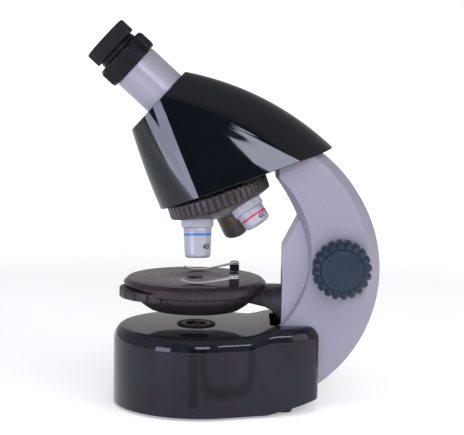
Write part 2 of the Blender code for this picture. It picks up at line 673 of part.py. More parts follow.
def clip_strip(name, side):
    """A spring strip that reaches forward from its post, presses at X = 0 and turns up at the tip."""
    path = [(27.0, CLIP_Y + 0.2, 79.2), (18.0, CLIP_Y - 0.3, 79.2), (12.0, 25.3, 77.9), (4.0, 24.8, 75.9)]
    path += [(0.0, 24.5, 75.3), (-4.0, 24.3, 75.8), (-9.0, 24.0, 78.0)]
    rings = []
    for x, y, z in path:
        half = 3.2 if x > 16 else 2.9
        if x < -8:
            half = 2.0
        rings.append([(x, side * (y - half), z), (x, side * (y + half), z),
                      (x, side * (y + half), z + 0.7), (x, side * (y - half), z + 0.7)])
    pivot = (CLIP_X, side * CLIP_Y, STAGE_TOP)
    strip = finish(name, loft(rings), look("steel"), pivot=pivot, smooth=False)
    cut(strip, helper(f"{name}_hole", disc(1.7, 70, 90, 16), Matrix.Translation((CLIP_X, side * CLIP_Y, 0))))


def stage_clips():
    for name, side in (("near", -1), ("far", 1)):
        at = Matrix.Translation((CLIP_X, side * CLIP_Y, 0))
        post = toothed(12, 2.9, 2.5, STAGE_TOP + GAP, 78.9, fine=True)
        bush = finish(f"clip_bush_{name}", post, look("dark"), at, smooth=False)
        cut(bush, helper(f"clip_bush_{name}_bore", disc(1.7, 70, 90, 16), at))
        clip_strip(f"clip_spring_{name}", side)
        place = Matrix.Translation((CLIP_X, side * CLIP_Y, 80.2))
        screw(f"clip_screw_{name}", 2.8, 1.2, 1.35, 8.0, place)


# ---------------------------------------------------------------- turret

def turret_down():
    return Vector((math.sin(TURRET_TILT), 0, -math.cos(TURRET_TILT)))


def turret_place(spin=0.0):
    """Local Z runs up the turret's axis from the centre of its top."""
    return frame_along(TURRET_CENTRE, -turret_down(), spin)


def objective_place(turned):
    """Local Z runs down the objective from its seat on the turret."""
    angle = math.radians(turned) + TURRET_TURN
    out = Vector((-math.cos(TURRET_TILT), 0, -math.sin(TURRET_TILT))) * math.cos(angle)
    out += Vector((0, math.sin(angle), 0))
    seat = Vector(TURRET_CENTRE) + OBJECTIVE_DROP * turret_down() + OBJECTIVE_RING * out
    direction = math.cos(TURRET_TILT) * turret_down() + math.sin(TURRET_TILT) * out
    return frame_along(seat, direction)


def turret_plate():
    ribs = rib_angles(TURRET_RIBS, fine=True)

    def circle(radius, height, depth=0.0):
        points = []
        for angle, crest in ribs:
            at = radius if crest else radius - depth
            points.append((at * math.cos(angle), at * math.sin(angle), height))
        return points

    rings = [circle(TURRET_RADIUS - 1.2, 2.0), circle(TURRET_RADIUS, 1.3, 1.1)]
    rings += [circle(TURRET_RADIUS, -6.0, 1.1), circle(28.6, -6.6), circle(8.0, -13.9)]
    place = turret_place(TURRET_TURN)
    plate = finish("turret_plate", loft(rings), look("dark"), place, pivot=TURRET_CENTRE)
    cut(plate, helper("turret_bore", disc(2.9, -20, 5, 20), place))
    cut(plate, helper("turret_counterbore", disc(5.2, -20, -11.4, 24), place))
    cut(plate, helper("turret_pocket", ring(9.0, 5.6, -2.5, 5, 24), place))
    for name, length, turned in OBJECTIVES:
        at = objective_place(turned)
        cut(plate, helper(f"thread_hole_{name}", disc(6.3, -20, 5, 20), at))
        cut(plate, helper(f"seat_face_{name}", disc(9.9, -0.3, 12, 28), at))


def objective(name, length, turned):
    at = objective_place(turned)
    ends = [(4.0, -5.5), (6.0, -5.5), (6.0, 0.0), (9.0, 0.0)]
    ends += [(9.45, 0.5), (9.45, 4.9), (8.9, 5.4), (8.25, 5.5)]
    ends += [(7.8, length - 2.4), (7.2, length - 0.9), (6.1, length), (4.0, length)]
    seat = tuple(at.translation)
    finish(f"objective_{name}", turn(ends, 24, hollow=True), look("silver_tube"), at, pivot=seat)
    lens = [(0, length - 1.0), (2.0, length - 1.1), (3.7, length - 1.7)]
    lens += [(3.7, length - 3.4), (0, length - 3.4)]
    finish(f"objective_lens_{name}", turn(lens, 20), look("glass"), at, pivot=seat)


def turret_pivot():
    at = turret_place()
    profile = [(0, -14.3), (3.6, -14.3), (4.9, -13.4), (4.9, -11.7), (2.6, -11.7), (2.6, 7.0), (0, 7.6)]
    finish("turret_pivot_screw", turn(profile, 24), look("steel"), at)
    leaf = box((11.0, -14.0, 2.4), (17.0, 14.0, 2.8))
    finish("detent_spring", leaf, look("steel"), at, smooth=False)


# ---------------------------------------------------------------- head

def head_frame():
    at = turret_place()
    frame = finish("head_frame", disc(22.0, 3.1, 8.0, 48), look("dark"), at, smooth=False)
    outline = [(66, ARM_TOP + GAP), (66, 157.5), (36, 157.5), (7, 139), (7, 130), (24, 137)]
    outline.append((44, ARM_TOP + GAP))
    join(frame, helper("frame_tongue", prism(outline, -11.0, 11.0)))
    light_hole = helper("frame_light_hole", disc(6.0, 100, 170, 24))
    cut(frame, light_hole, helper("frame_bore", disc(2.9, -20, 20, 20), at))


def hood_face_point(u, y):
    """A point of the flat face round the tube: U runs up the face from its lowest point."""
    low, high = Vector(HOOD_FACE_LOW), Vector(HOOD_FACE_HIGH)
    along = (high - low).normalized()
    point = low + along * u
    return Vector((point.x, y, point.y))


def hood_rim_height(x, y):
    return HOOD_RIM_FRONT[1] + (x - HOOD_RIM_FRONT[0]) * HOOD_RIM_SLOPE + 1.6 * (abs(y) / 32) ** 2


def hood_half(inset=0.0):
    """Matched points of the face outline and the rim, front to back, with each line's bulge."""
    face, rim, bulge = [], [], []
    low_radius, high_radius, high_u = 16.0 - inset, 17.5 - inset, 28.7
    rim_radius = HOOD_RIM_RADIUS - inset
    for share in spread(0, 1, 9):
        angle = share * math.radians(91)
        face.append((16.0 - low_radius * math.cos(angle), low_radius * math.sin(angle)))
        turned = math.radians(180 - 70 * share)
        rim.append((12 + rim_radius * math.cos(turned), rim_radius * math.sin(turned)))
        bulge.append(0.8)
    stripe_rim = (2.3, 31.3 - inset)
    face.append((23.3, 17.2 - inset))
    rim.append(stripe_rim)
    bulge.append(1.2)
    side = ((20.0, 32.8), (41.0, 33.2), (60.0, 30.2))
    for share, (x, y), swell in zip((0.33, 0.66, 1.0), side, (1.0, 1.4, 2.5)):
        face.append((23.3 + (high_u - 23.3) * share, 17.2 + 0.3 * share - inset))
        rim.append((x, y - inset))
        bulge.append(swell)
    for share in spread(0, 1, 11)[1:]:
        angle = share * math.pi / 2
        face.append((high_u + high_radius * math.sin(angle), high_radius * math.cos(angle)))
        rim.append((60 + (19.4 - inset) * math.sin(angle), (30.2 - inset) * math.cos(angle)))
        bulge.append(2.5 + 4.5 * math.sin(angle) ** 1.2)
    return face, rim, bulge


def hood_surface(rows, inset=0.0):
    """Rings of points from the face down to the rim, bulged outwards along the local normal."""
    face, rim, bulge = hood_half(inset)
    tops = [hood_face_point(u, y) for u, y in face]
    lows = [Vector((x, y, hood_rim_height(x, y))) for x, y in rim]
    tops += [Vector((p.x, -p.y, p.z)) for p in reversed(tops[1:-1])]
    lows += [Vector((p.x, -p.y, p.z)) for p in reversed(lows[1:-1])]
    bulge = bulge + bulge[-2:0:-1]
    count = len(tops)
    rings = []
    for share in spread(0, 1, rows):
        flat = [top.lerp(low, share) for top, low in zip(tops, lows)]
        points = []
        for i in range(count):
            down = lows[i] - tops[i]
            across = flat[(i + 1) % count] - flat[i - 1]
            out = across.cross(down).normalized()
            points.append(flat[i] + out * bulge[i] * 4 * share * (1 - share))
        rings.append(points)
    return rings


def hood():
    outer = hood_surface(HOOD_ROWS)
    face_out = Vector((-math.cos(TUBE_ELEVATION), 0, math.sin(TUBE_ELEVATION)))
    inner = [[point - face_out * HOOD_WALL for point in hood_surface(HOOD_ROWS, HOOD_WALL)[0]]]
    inner += hood_surface(HOOD_ROWS, HOOD_WALL)[1:]
    rings = outer + inner[::-1]
    shell = finish("hood", loft(rings, cap="ladder"), look("hood_black"))
    place = frame_along(TUBE_FACE_CENTRE, face_out)
    cut(shell, helper("tube_hole", disc(TUBE_RADIUS + GAP, -12, 12, 40), place))


def eyepiece():
    direction = Vector((-math.cos(TUBE_ELEVATION), 0, math.sin(TUBE_ELEVATION)))
    at = frame_along(TUBE_FACE_CENTRE, direction)
    axis = TUBE_FACE_CENTRE
    tube = [(12.3, -14.0), (TUBE_RADIUS, -14.0), (TUBE_RADIUS, TUBE_LENGTH - 0.5)]
    tube += [(TUBE_RADIUS - 0.5, TUBE_LENGTH), (12.3, TUBE_LENGTH)]
    finish("eyepiece_tube", turn(tube, 36, hollow=True), look("silver_tube"), at)
    start, end = TUBE_LENGTH + GAP, 34.5
    grip = toothed(8, 16.85, 16.1, start, end, 0.62)
    collar = finish("zoom_collar", grip, look("dark"), at, pivot=axis, smooth=False)
    cut(collar, helper("collar_bore", disc(12.3, 0, 60, 40), at))
    barrel = [(9.6, 2.0), (11.9, 2.0), (11.9, 34.8), (12.6, 34.8)]
    barrel += [(12.6, 37.6), (11.5, 37.8), (11.5, 45.4), (9.6, 45.4)]
    finish("eyepiece_barrel", turn(barrel, 30, hollow=True), look("dark"), at, pivot=axis)
    cup = [(11.9, 38.0), (14.55, 38.3), (14.55, 45.8), (13.8, 46.8), (9.2, 46.8), (8.8, 45.7)]
    cup += [(11.9, 45.7)]
    finish("eyecup", turn(cup, 32, hollow=True), look("rubber"), at, pivot=axis)
    lens = [(0, 44.2), (5.0, 43.8), (9.3, 42.6), (9.3, 40.4), (5.0, 39.4), (0, 39.0)]
    finish("eye_lens", turn(lens, 28), look("glass"), at, pivot=axis)
    mirror = prism([(-8.0, 157.5), (10.0, 157.5), (10.0, 172.5)], -9.0, 9.0)
    finish("prism", mirror, look("glass"), smooth=False)


def build():
    for obj in list(bpy.data.objects):
        bpy.data.objects.remove(obj, do_unlink=True)
    base_housing()
    base_bottom_plate()
    battery_door()
    base_fixings()
    battery_bay()
    lamp()
    power_switch()
    arm_shell("arm_shell_near", -1)
    arm_shell("arm_shell_far", 1)
    arm_fixings()
    rack_housing()
    pinion()
    focus_rack()
    focus_shaft()
    focus_knob("focus_knob_near", -1)
    focus_knob("focus_knob_far", 1)
    stage_plate()
    stage_dish()
    stage_bracket()
    filter_wheel()
    stage_clips()
    turret_plate()
    for name, length, turned in OBJECTIVES:
        objective(name, length, turned)
    turret_pivot()
    head_frame()
    hood()
    eyepiece()


build()
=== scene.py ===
"""Looks of the children's microscope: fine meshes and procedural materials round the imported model.

Lengths are in millimetres in the design frame, where the optical axis is X = 0, Y = 0 and the table is
Z = 0. They become metres in the row frame as each mesh is made.
"""

import json
from math import acos, atan2, cos, hypot, pi, radians, sin, sqrt, tan, tau

import bmesh
import bpy
from mathutils import Matrix, Vector


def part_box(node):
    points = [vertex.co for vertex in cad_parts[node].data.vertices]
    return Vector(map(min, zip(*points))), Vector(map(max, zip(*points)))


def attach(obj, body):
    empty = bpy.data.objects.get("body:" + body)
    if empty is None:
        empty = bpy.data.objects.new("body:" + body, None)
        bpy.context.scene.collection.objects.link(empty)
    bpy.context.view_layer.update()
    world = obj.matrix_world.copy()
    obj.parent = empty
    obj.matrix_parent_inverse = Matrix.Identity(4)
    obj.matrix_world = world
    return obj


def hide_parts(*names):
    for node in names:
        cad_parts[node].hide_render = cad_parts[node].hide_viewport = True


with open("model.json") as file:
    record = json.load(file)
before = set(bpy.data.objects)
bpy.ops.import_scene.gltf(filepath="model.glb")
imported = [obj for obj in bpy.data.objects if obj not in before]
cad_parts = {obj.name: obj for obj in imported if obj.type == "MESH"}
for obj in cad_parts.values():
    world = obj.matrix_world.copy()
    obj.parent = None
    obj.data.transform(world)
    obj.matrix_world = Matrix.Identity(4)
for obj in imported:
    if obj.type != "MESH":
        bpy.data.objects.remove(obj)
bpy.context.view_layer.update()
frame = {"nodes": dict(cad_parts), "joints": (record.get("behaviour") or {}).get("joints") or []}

MM = 0.001
JOINTS = {joint["name"]: joint for joint in frame["joints"]}


def middle_mm(node):
    low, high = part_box(node)
    return (low + high) / (2 * MM)


LAMP_X = 1.2  # the lamp sits this far behind the optical axis
AXIS_X = middle_mm("collector_lens").x - LAMP_X  # the optical axis, in the row frame
ROW = Matrix.Translation((AXIS_X, 0, 0))  # design frame to row frame, in millimetres


def joint_point(name):
    return Vector(JOINTS[name]["pos_m"]) / MM - Vector((AXIS_X, 0, 0))


def joint_axis(name):
    return Vector(JOINTS[name]["axis"]).normalized()


FOCUS = joint_point("focus_spin")
TURRET = joint_point("turret_spin")
TURRET_UP = joint_axis("turret_spin")
TILT = acos(TURRET_UP.z)
TUBE = joint_point("zoom_turn")
TUBE_OUT = joint_axis("zoom_turn")
WHEEL = joint_point("filter_turn")
CLIP = joint_point("clip_far_swing")
STAGE_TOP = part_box("stage_plate")[1].z / MM
STAGE_RADIUS = (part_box("stage_plate")[1].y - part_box("stage_plate")[0].y) / (2 * MM)

BASE_X, BASE_RADIUS = 2.0, 49.6  # the round front
BASE_REAR_X, BASE_REAR_RADIUS = 44.0, 36.0  # the narrower rear
BASE_BACK_X = 73.3
BASE_BOTTOM, BASE_TOP = 1.5, 47.0
BASE_WALL, BASE_FILLET, BASE_SHOULDER = 2.4, 5.8, 8.4  # the top edge rounds in and down by the last two
CLEAR_UP = 62.0  # cutters through the base's top end here
# Arcs of the arm's side view: centre X, centre Z, radius.
ARM_OUTER, ARM_BEVEL = (24.5, 82.2, 83.4), (20.5, 84.7, 80.2)
ARM_FACE_INNER = (7.1, 92.1, 60.8)
ARM_RIM_UPPER, ARM_RIM_LOWER = (-31.0, 76.4, 97.8), (7.1, 92.1, 59.4)
ARM_HALF, ARM_RIM_HALF, ARM_WALL = 20.0, 13.0, 2.4
ARM_BOTTOM, ARM_TOP, ARM_NECK_Z, ARM_NECK_X = 13.0, 152.0, 137.0, 46.0
WHEEL_POCKET, TAB_HALF = 26.9, 10.8  # room for the filter wheel and for the bracket's arm in the stage
OBJECTIVE_RING, OBJECTIVE_DROP = 16.9, 9.65  # seats: distance from the turret's axis, and below its centre
TURRET_TURN = radians(-24.4)
NOSE_LENGTH = 2.6  # of an objective's rounded end
BARREL_TOP, TAPER_START = 8.1, 10.32  # an objective's radius where its taper starts, and how far down
OBJECTIVES = {  # length, degrees round the turret, band, figures
    "high": (23.2, 0.0, "blue", "40X"),
    "low": (15.0, -120.0, "red", "4X"),
    "medium": (20.5, 120.0, "yellow", "10X"),
}

HOOD_FACE_LOW, HOOD_FACE_HIGH = Vector((-38.4, 161.7)), Vector((-7.6, 196.1))  # X, Z
HOOD_RIM_FRONT, HOOD_RIM_SLOPE = (-20.8, 115.5), 0.3802
HOOD_RIM_X, HOOD_RIM_RADIUS = 12.0, 32.8  # the round front of the rim
HOOD_WALL = 2.2
HOOD_LOW_U, HOOD_HIGH_U, HOOD_FACE_HALF = 16.0, 28.7, 17.5  # U runs up the face
HOOD_FACET_FACE, HOOD_FACET_RIM = (26.1, 17.25), (2.3, 31.3)  # the facet's rear edge, on face and rim
HOOD_SIDE_RIM = ((20.0, 32.8), (41.0, 33.2), (60.0, 30.2))
HOOD_TAIL = 19.4  # the crown's reach behind the sides, on the rim
HOOD_CREASE = 0.96  # sharpness of the crown's edge
TUBE_HOLE = 14.65


# ---------------- mesh helpers

def spread(start, end, count):
    return [start + (end - start) * i / (count - 1) for i in range(count)]


def arc(radius, start, end, count, centre=(0.0, 0.0)):
    """Points of a circle's arc in the plane."""
    x, y = centre
    return [(x + radius * cos(at), y + radius * sin(at)) for at in spread(start, end, count)]


def around(angle, radius=1.0, height=0.0):
    return Vector((radius * cos(angle), radius * sin(angle), height))


def smoothstep(value, start, end):
    share = min(max((value - start) / (end - start), 0.0), 1.0)
    return share * share * (3 - 2 * share)


def in_scene(name, data):
    obj = bpy.data.objects.new(name, data)
    bpy.context.scene.collection.objects.link(obj)
    return obj


def finish(name, bm, look, body, nodes=(), slot=None, place=None, sharp=32):
    """Make the piece in the row frame, on a body, in place of CAD nodes."""
    if place is not None:
        bmesh.ops.transform(bm, matrix=place, verts=bm.verts)
    bmesh.ops.transform(bm, matrix=ROW, verts=bm.verts)
    bmesh.ops.scale(bm, vec=(MM, MM, MM), verts=bm.verts)
    bmesh.ops.recalc_face_normals(bm, faces=bm.faces)
    mesh = bpy.data.meshes.new(name)
    bm.to_mesh(mesh)
    bm.free()
    obj = in_scene(name, mesh)
    if look:
        mesh.materials.append(LOOKS[look])
    mesh.shade_smooth()
    mesh.set_sharp_from_angle(angle=radians(sharp))
    if body:
        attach(obj, body)
    if nodes:
        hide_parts(*nodes)
    return obj


def carve(obj, *cutters):
    """Cut shapes out of a piece, each given alone or with its place, and keep the result as its mesh."""
    for i, cutter in enumerate(cutters):
        bm, place = cutter if isinstance(cutter, tuple) else (cutter, None)
        tool = finish(f"{obj.name}_tool_{i}", bm, None, None, place=place)
        modifier = obj.modifiers.new(tool.name, "BOOLEAN")
        modifier.operation = "DIFFERENCE"
        modifier.solver = "EXACT"
        modifier.object = tool
    bpy.context.view_layer.update()
    graph = bpy.context.evaluated_depsgraph_get()
    carved = bpy.data.meshes.new_from_object(obj.evaluated_get(graph))
    tools = [modifier.object for modifier in obj.modifiers]
    obj.modifiers.clear()
    obj.data = carved
    for tool in tools:
        bpy.data.objects.remove(tool, do_unlink=True)
    carved.shade_smooth()
    carved.set_sharp_from_angle(angle=radians(32))
    return obj


def soften(obj, width, segments=2, angle=40):
    """Round the piece's sharp edges."""
    modifier = obj.modifiers.new("rounded edges", "BEVEL")
    modifier.width = width * MM
    modifier.segments = segments
    modifier.limit_method = "ANGLE"
    modifier.angle_limit = radians(angle)
    modifier.harden_normals = True
    return obj


def loft(rings, cap="fan", closed=False, bm=None):
    """Skin rings of equal length, and close the ends with caps or by joining last to first."""
    bm = bm or bmesh.new()
    loops = [[bm.verts.new(point) for point in ring] for ring in rings]
    count = len(loops[0])
    pairs = list(zip(loops, loops[1:]))
    if closed:
        pairs.append((loops[-1], loops[0]))
    for low, high in pairs:
        for i in range(count):
            j = (i + 1) % count
            bm.faces.new((low[i], low[j], high[j], high[i]))
    if closed:
        return bm
    for loop in (loops[0], loops[-1]):
        if cap == "ladder":
            for i in range(count // 2):
                corners = [loop[i], loop[i + 1], loop[(-i - 1) % count], loop[(-i) % count]]
                bm.faces.new(list(dict.fromkeys(corners)))
        elif cap == "fan":
            bm.faces.new(loop)
    return bm


def prism(outline, low, high, axis="Y"):
    if axis == "Y":
        return loft([[(x, y, z) for x, z in outline] for y in (low, high)])
    return loft([[(x, y, z) for x, y in outline] for z in (low, high)])


def box(low, high):
    outline = [(low[0], low[1]), (high[0], low[1]), (high[0], high[1]), (low[0], high[1])]
    return prism(outline, low[2], high[2], axis="Z")


def rounded(points, radii, steps=4, closed=True):
    """Replace each corner of a polyline by an arc of its own radius (0 leaves the corner)."""
    made = []
    count = len(points)
    for i, point in enumerate(points):
        radius = radii[i] if isinstance(radii, (list, tuple)) else radii
        ends = not closed and i in (0, count - 1)
        if radius == 0 or ends:
            made.append(tuple(point))
            continue
        here = Vector(point)
        before = (Vector(points[i - 1]) - here).normalized()
        after = (Vector(points[(i + 1) % count]) - here).normalized()
        half = before.angle(after) / 2
        if half > radians(88):
            made.append(tuple(here))
            continue
        reach = radius / tan(half)
        centre = here + (before + after).normalized() * (radius / sin(half))
        start, end = here + before * reach - centre, here + after * reach - centre
        sweep = start.angle(end)
        for share in spread(0, 1, steps + 1):
            first, second = (sin(part * sweep) / sin(sweep) for part in (1 - share, share))
            made.append(tuple(centre + (start * first + end * second)))
    return made


def turn(profile, steps, hollow=False):
    """Spin (radius, height) points round Z. A hollow profile is a closed loop."""
    bm = bmesh.new()
    verts = [bm.verts.new((radius, 0.0, height)) for radius, height in profile]
    edges = [bm.edges.new(pair) for pair in zip(verts, verts[1:])]
    if hollow:
        edges.append(bm.edges.new((verts[-1], verts[0])))
    bmesh.ops.spin(
        bm, geom=verts + edges, cent=(0, 0, 0), axis=(0, 0, 1), angle=tau, steps=steps, use_merge=True
    )
    bmesh.ops.remove_doubles(bm, verts=bm.verts, dist=1e-4)
    return bm


def disc(radius, low, high, steps=64):
    return turn([(0, high), (radius, high), (radius, low), (0, low)], steps)


def frame_along(origin, direction, spin=0.0):
    z = Vector(direction).normalized()
    x = Vector((0, 1, 0)).cross(z).normalized()
    y = z.cross(x)
    rotation = Matrix((x, y, z)).transposed().to_4x4()
    return Matrix.Translation(Vector(origin)) @ rotation @ Matrix.Rotation(spin, 4, "Z")


def along_y(x, y, z):
    return Matrix.Translation((x, y, z)) @ Matrix.Rotation(-pi / 2, 4, "X")


def through(points, share):
    """A smooth curve through a few points."""
    spot = share * (len(points) - 1)
    k = min(int(spot), len(points) - 2)
    t = spot - k
    a, b = Vector(points[max(k - 1, 0)]), Vector(points[k])
    c, d = Vector(points[k + 1]), Vector(points[min(k + 2, len(points) - 1)])
    return 0.5 * (2 * b + (c - a) * t + (2 * a - 5 * b + 4 * c - d) * t**2 + (3 * b - a - 3 * c + d) * t**3)


def ribbed(profile, count, per_rib, shape, closed=False):
    """A turned piece whose rim is ribbed: the profile gives each row's radius, height and groove depth."""
    rings = []
    total = count * per_rib
    for radius, height, depth in profile:
        ring = []
        for i in range(total):
            angle = tau * i / total
            reach = radius - depth * shape((i % per_rib) / per_rib)
            ring.append(around(angle, reach, height))
        rings.append(ring)
    return loft(rings, closed=closed)


def lug_shape(width, edge):
    """0 on the crest, 1 in the groove, with rounded flanks. Width and edge are shares of a rib."""
    def shape(share):
        middle = abs(share - width / 2)
        middle = min(middle, 1 - middle)
        return smoothstep(middle, width / 2 - edge / 2, width / 2 + edge / 2)
    return shape


KNURL = lug_shape(0.66, 0.22)


# ---------------- materials

class Graph:
    """Short calls for a node tree."""

    def __init__(self, tree):
        self.tree = tree

    def put(self, kind, **values):
        node = self.tree.nodes.new(kind)
        for key, value in values.items():
            setattr(node, key, value)
        return node

    def link(self, source, target):
        self.tree.links.new(source, target)

    def math(self, operation, first, second=0.0):
        node = self.put("ShaderNodeMath", operation=operation)
        for value, target in zip((first, second), node.inputs):
            if isinstance(value, float):
                target.default_value = value
            else:
                self.link(value, target)
        return node.outputs[0]

    def ramp(self, value, low, high, to_low, to_high, **settings):
        node = self.put("ShaderNodeMapRange", **settings)
        for key, number in (("From Min", low), ("From Max", high), ("To Min", to_low), ("To Max", to_high)):
            node.inputs[key].default_value = number
        self.link(value, node.inputs["Value"])
        return node.outputs["Result"]

    def both(self, first, second):
        return self.math("MULTIPLY", first, second)

    def split(self, vector):
        """The X, Y and Z of a vector."""
        node = self.put("ShaderNodeSeparateXYZ")
        self.link(vector, node.inputs["Vector"])
        return node.outputs


class Nodes(Graph):
    """A Principled material with short calls for its texture nodes."""

    def __init__(self, name, colour, roughness, metallic=0.0):
        self.material = bpy.data.materials.new(name)
        self.material.use_nodes = True
        super().__init__(self.material.node_tree)
        self.shader = self.tree.nodes["Principled BSDF"]
        self.shader.inputs["Base Color"].default_value = (*colour, 1.0)
        self.shader.inputs["Roughness"].default_value = roughness
        self.shader.inputs["Metallic"].default_value = metallic
        self.place = self.put("ShaderNodeTexCoord").outputs["Object"]

    def stretch(self, scale, rotation=(0, 0, 0)):
        mapping = self.put("ShaderNodeMapping")
        mapping.inputs["Scale"].default_value = scale
        mapping.inputs["Rotation"].default_value = rotation
        self.link(self.place, mapping.inputs["Vector"])
        return mapping.outputs["Vector"]

    def noise(self, per_mm, detail=2.0, vector=None):
        """Noise whose cells are about one over per_mm millimetres across."""
        node = self.put("ShaderNodeTexNoise")
        node.inputs["Scale"].default_value = per_mm / MM
        node.inputs["Detail"].default_value = detail
        self.link(vector or self.place, node.inputs["Vector"])
        return node.outputs["Fac"]

    def band(self, value, low, high, edge):
        """1 between two places along an axis, in millimetres."""
        rise = self.ramp(value, (low - edge) * MM, (low + edge) * MM, 0.0, 1.0)
        fall = self.ramp(value, (high - edge) * MM, (high + edge) * MM, 1.0, 0.0)
        return self.both(rise, fall)

    def tint(self, factor, other):
        """Mix the base colour towards another by a 0 to 1 factor."""
        mix = self.put("ShaderNodeMix", data_type="RGBA")
        source = self.shader.inputs["Base Color"]
        if source.is_linked:
            self.link(source.links[0].from_socket, mix.inputs["A"])
        else:
            mix.inputs["A"].default_value = source.default_value
        mix.inputs["B"].default_value = (*other, 1.0)
        self.link(factor, mix.inputs["Factor"])
        self.link(mix.outputs["Result"], source)

    def rough(self, value):
        self.link(value, self.shader.inputs["Roughness"])

    def bump(self, value, distance, strength=1.0):
        """Raise the surface by the value times a distance in millimetres."""
        node = self.put("ShaderNodeBump")
        node.inputs["Distance"].default_value = distance * MM
        node.inputs["Strength"].default_value = strength
        self.link(value, node.inputs["Height"])
        target = self.shader.inputs["Normal"]
        if target.is_linked:
            self.link(target.links[0].from_socket, node.inputs["Normal"])
        self.link(node.outputs["Normal"], target)

    def soft_edges(self, radius):
        """Round the shading of sharp edges."""
        node = self.put("ShaderNodeBevel")
        node.samples = 6
        node.inputs["Radius"].default_value = radius * MM
        self.link(node.outputs["Normal"], self.shader.inputs["Normal"])

    def wear_and_edge_highlight(self, colour, low=0.53, high=0.62, strength=0.5):
        """Lighter edges, broken up by noise: partly rubbed wear, partly a painted edge highlight."""
        geometry = self.put("ShaderNodeNewGeometry")
        edge = self.ramp(geometry.outputs["Pointiness"], low, high, 0.0, strength)
        self.tint(self.both(edge, self.ramp(self.noise(0.6, 4), 0.42, 0.6, 0.2, 1.0)), colour)


def shade(colour, factor, lift=0.0):
    return tuple(min(1.0, channel * factor + lift) for channel in colour)


def gloss_plastic(name, colour, roughness, level):
    """Polished moulding: faint flow waves, fine dust and handling marks in the roughness."""
    m = Nodes(name, colour, roughness)
    m.bump(m.noise(0.035, 1), 0.032, 0.3)
    smears = m.noise(0.05, 5, m.stretch((1.0, 1.0, 3.0), (0.4, 0.7, 0.2)))
    m.rough(m.ramp(smears, 0.35, 0.75, roughness * 0.7, roughness * 1.6))
    dust = m.ramp(m.noise(1.9, 3), 0.74, 0.82, 0.0, 0.25)
    m.tint(dust, (0.10, 0.10, 0.11))
    m.shader.inputs["Specular IOR Level"].default_value = level
    return m


def satin_plastic(name, colour, roughness, grain=1.0, level=0.5):
    """Spark-eroded moulding: fine even grain, patchy sheen, lighter edges that are partly rubbed wear and
    partly painted highlight.
    """
    m = Nodes(name, colour, roughness)
    m.soft_edges(0.3)
    m.bump(m.noise(4.5, 3), 0.02 * grain, 0.5)
    m.bump(m.noise(0.12, 2), 0.05 * grain, 0.2)
    m.rough(m.ramp(m.noise(0.15, 4), 0.3, 0.7, roughness * 0.88, roughness * 1.15))
    m.tint(m.ramp(m.noise(0.35, 4), 0.4, 0.7, 0.0, 0.55), shade(colour, 1.35, 0.002))
    m.shader.inputs["Specular IOR Level"].default_value = level
    # Lighter sharp edges: partly rubbed wear, partly painted edge highlight.
    m.wear_and_edge_highlight(shade(colour, 1.9, 0.02))
    return m


def silver_paint(name, colour, roughness, metallic=0.25):
    """Metallic paint on plastic: tiny flakes, slight orange peel and cloudy tone."""
    m = Nodes(name, colour, roughness, metallic)
    m.soft_edges(0.35)
    flakes = m.put("ShaderNodeTexVoronoi")
    flakes.inputs["Scale"].default_value = 7.0 / MM
    m.link(m.place, flakes.inputs["Vector"])
    grey = m.put("ShaderNodeSeparateColor")
    m.link(flakes.outputs["Color"], grey.inputs["Color"])
    m.tint(m.ramp(grey.outputs[0], 0.55, 1.0, 0.0, 0.35), shade(colour, 1.4))
    m.tint(m.ramp(m.noise(0.03, 3), 0.35, 0.65, 0.0, 0.3), shade(colour, 0.9))
    m.rough(m.ramp(m.noise(0.2, 4), 0.3, 0.7, roughness * 0.9, roughness * 1.12))
    m.bump(m.noise(1.2, 2), 0.006, 0.35)
    m.shader.inputs["Coat Weight"].default_value = 0.15
    m.shader.inputs["Coat Roughness"].default_value = 0.25
    return m


def bright_steel(name, colour, roughness, along=(1.0, 12.0, 12.0)):
    """Drawn steel: fine lines along one direction and small scratches."""
    m = Nodes(name, colour, roughness, 1.0)
    lines = m.noise(2.0, 4, m.stretch(along))
    m.rough(m.ramp(lines, 0.3, 0.7, roughness * 0.75, roughness * 1.4))
    m.bump(lines, 0.006, 0.5)
    m.tint(m.ramp(m.noise(0.25, 4), 0.45, 0.7, 0.0, 0.35), shade(colour, 0.82))
    return m


def lens_glass():
    m = Nodes("lens glass", (0.93, 0.96, 1.0), 0.03)
    m.shader.inputs["Transmission Weight"].default_value = 1.0
    m.shader.inputs["IOR"].default_value = 1.52
    m.rough(m.ramp(m.noise(0.4, 3), 0.3, 0.7, 0.01, 0.05))
    return m


def lamp_dome():
    m = Nodes("lamp dome", (0.9, 0.9, 0.82), 0.15)
    m.tint(m.ramp(m.noise(0.8, 2), 0.4, 0.7, 0.0, 0.4), (0.95, 0.85, 0.35))
    m.shader.inputs["Emission Color"].default_value = (1.0, 0.98, 0.92, 1.0)
    m.shader.inputs["Emission Strength"].default_value = 0.6
    return m


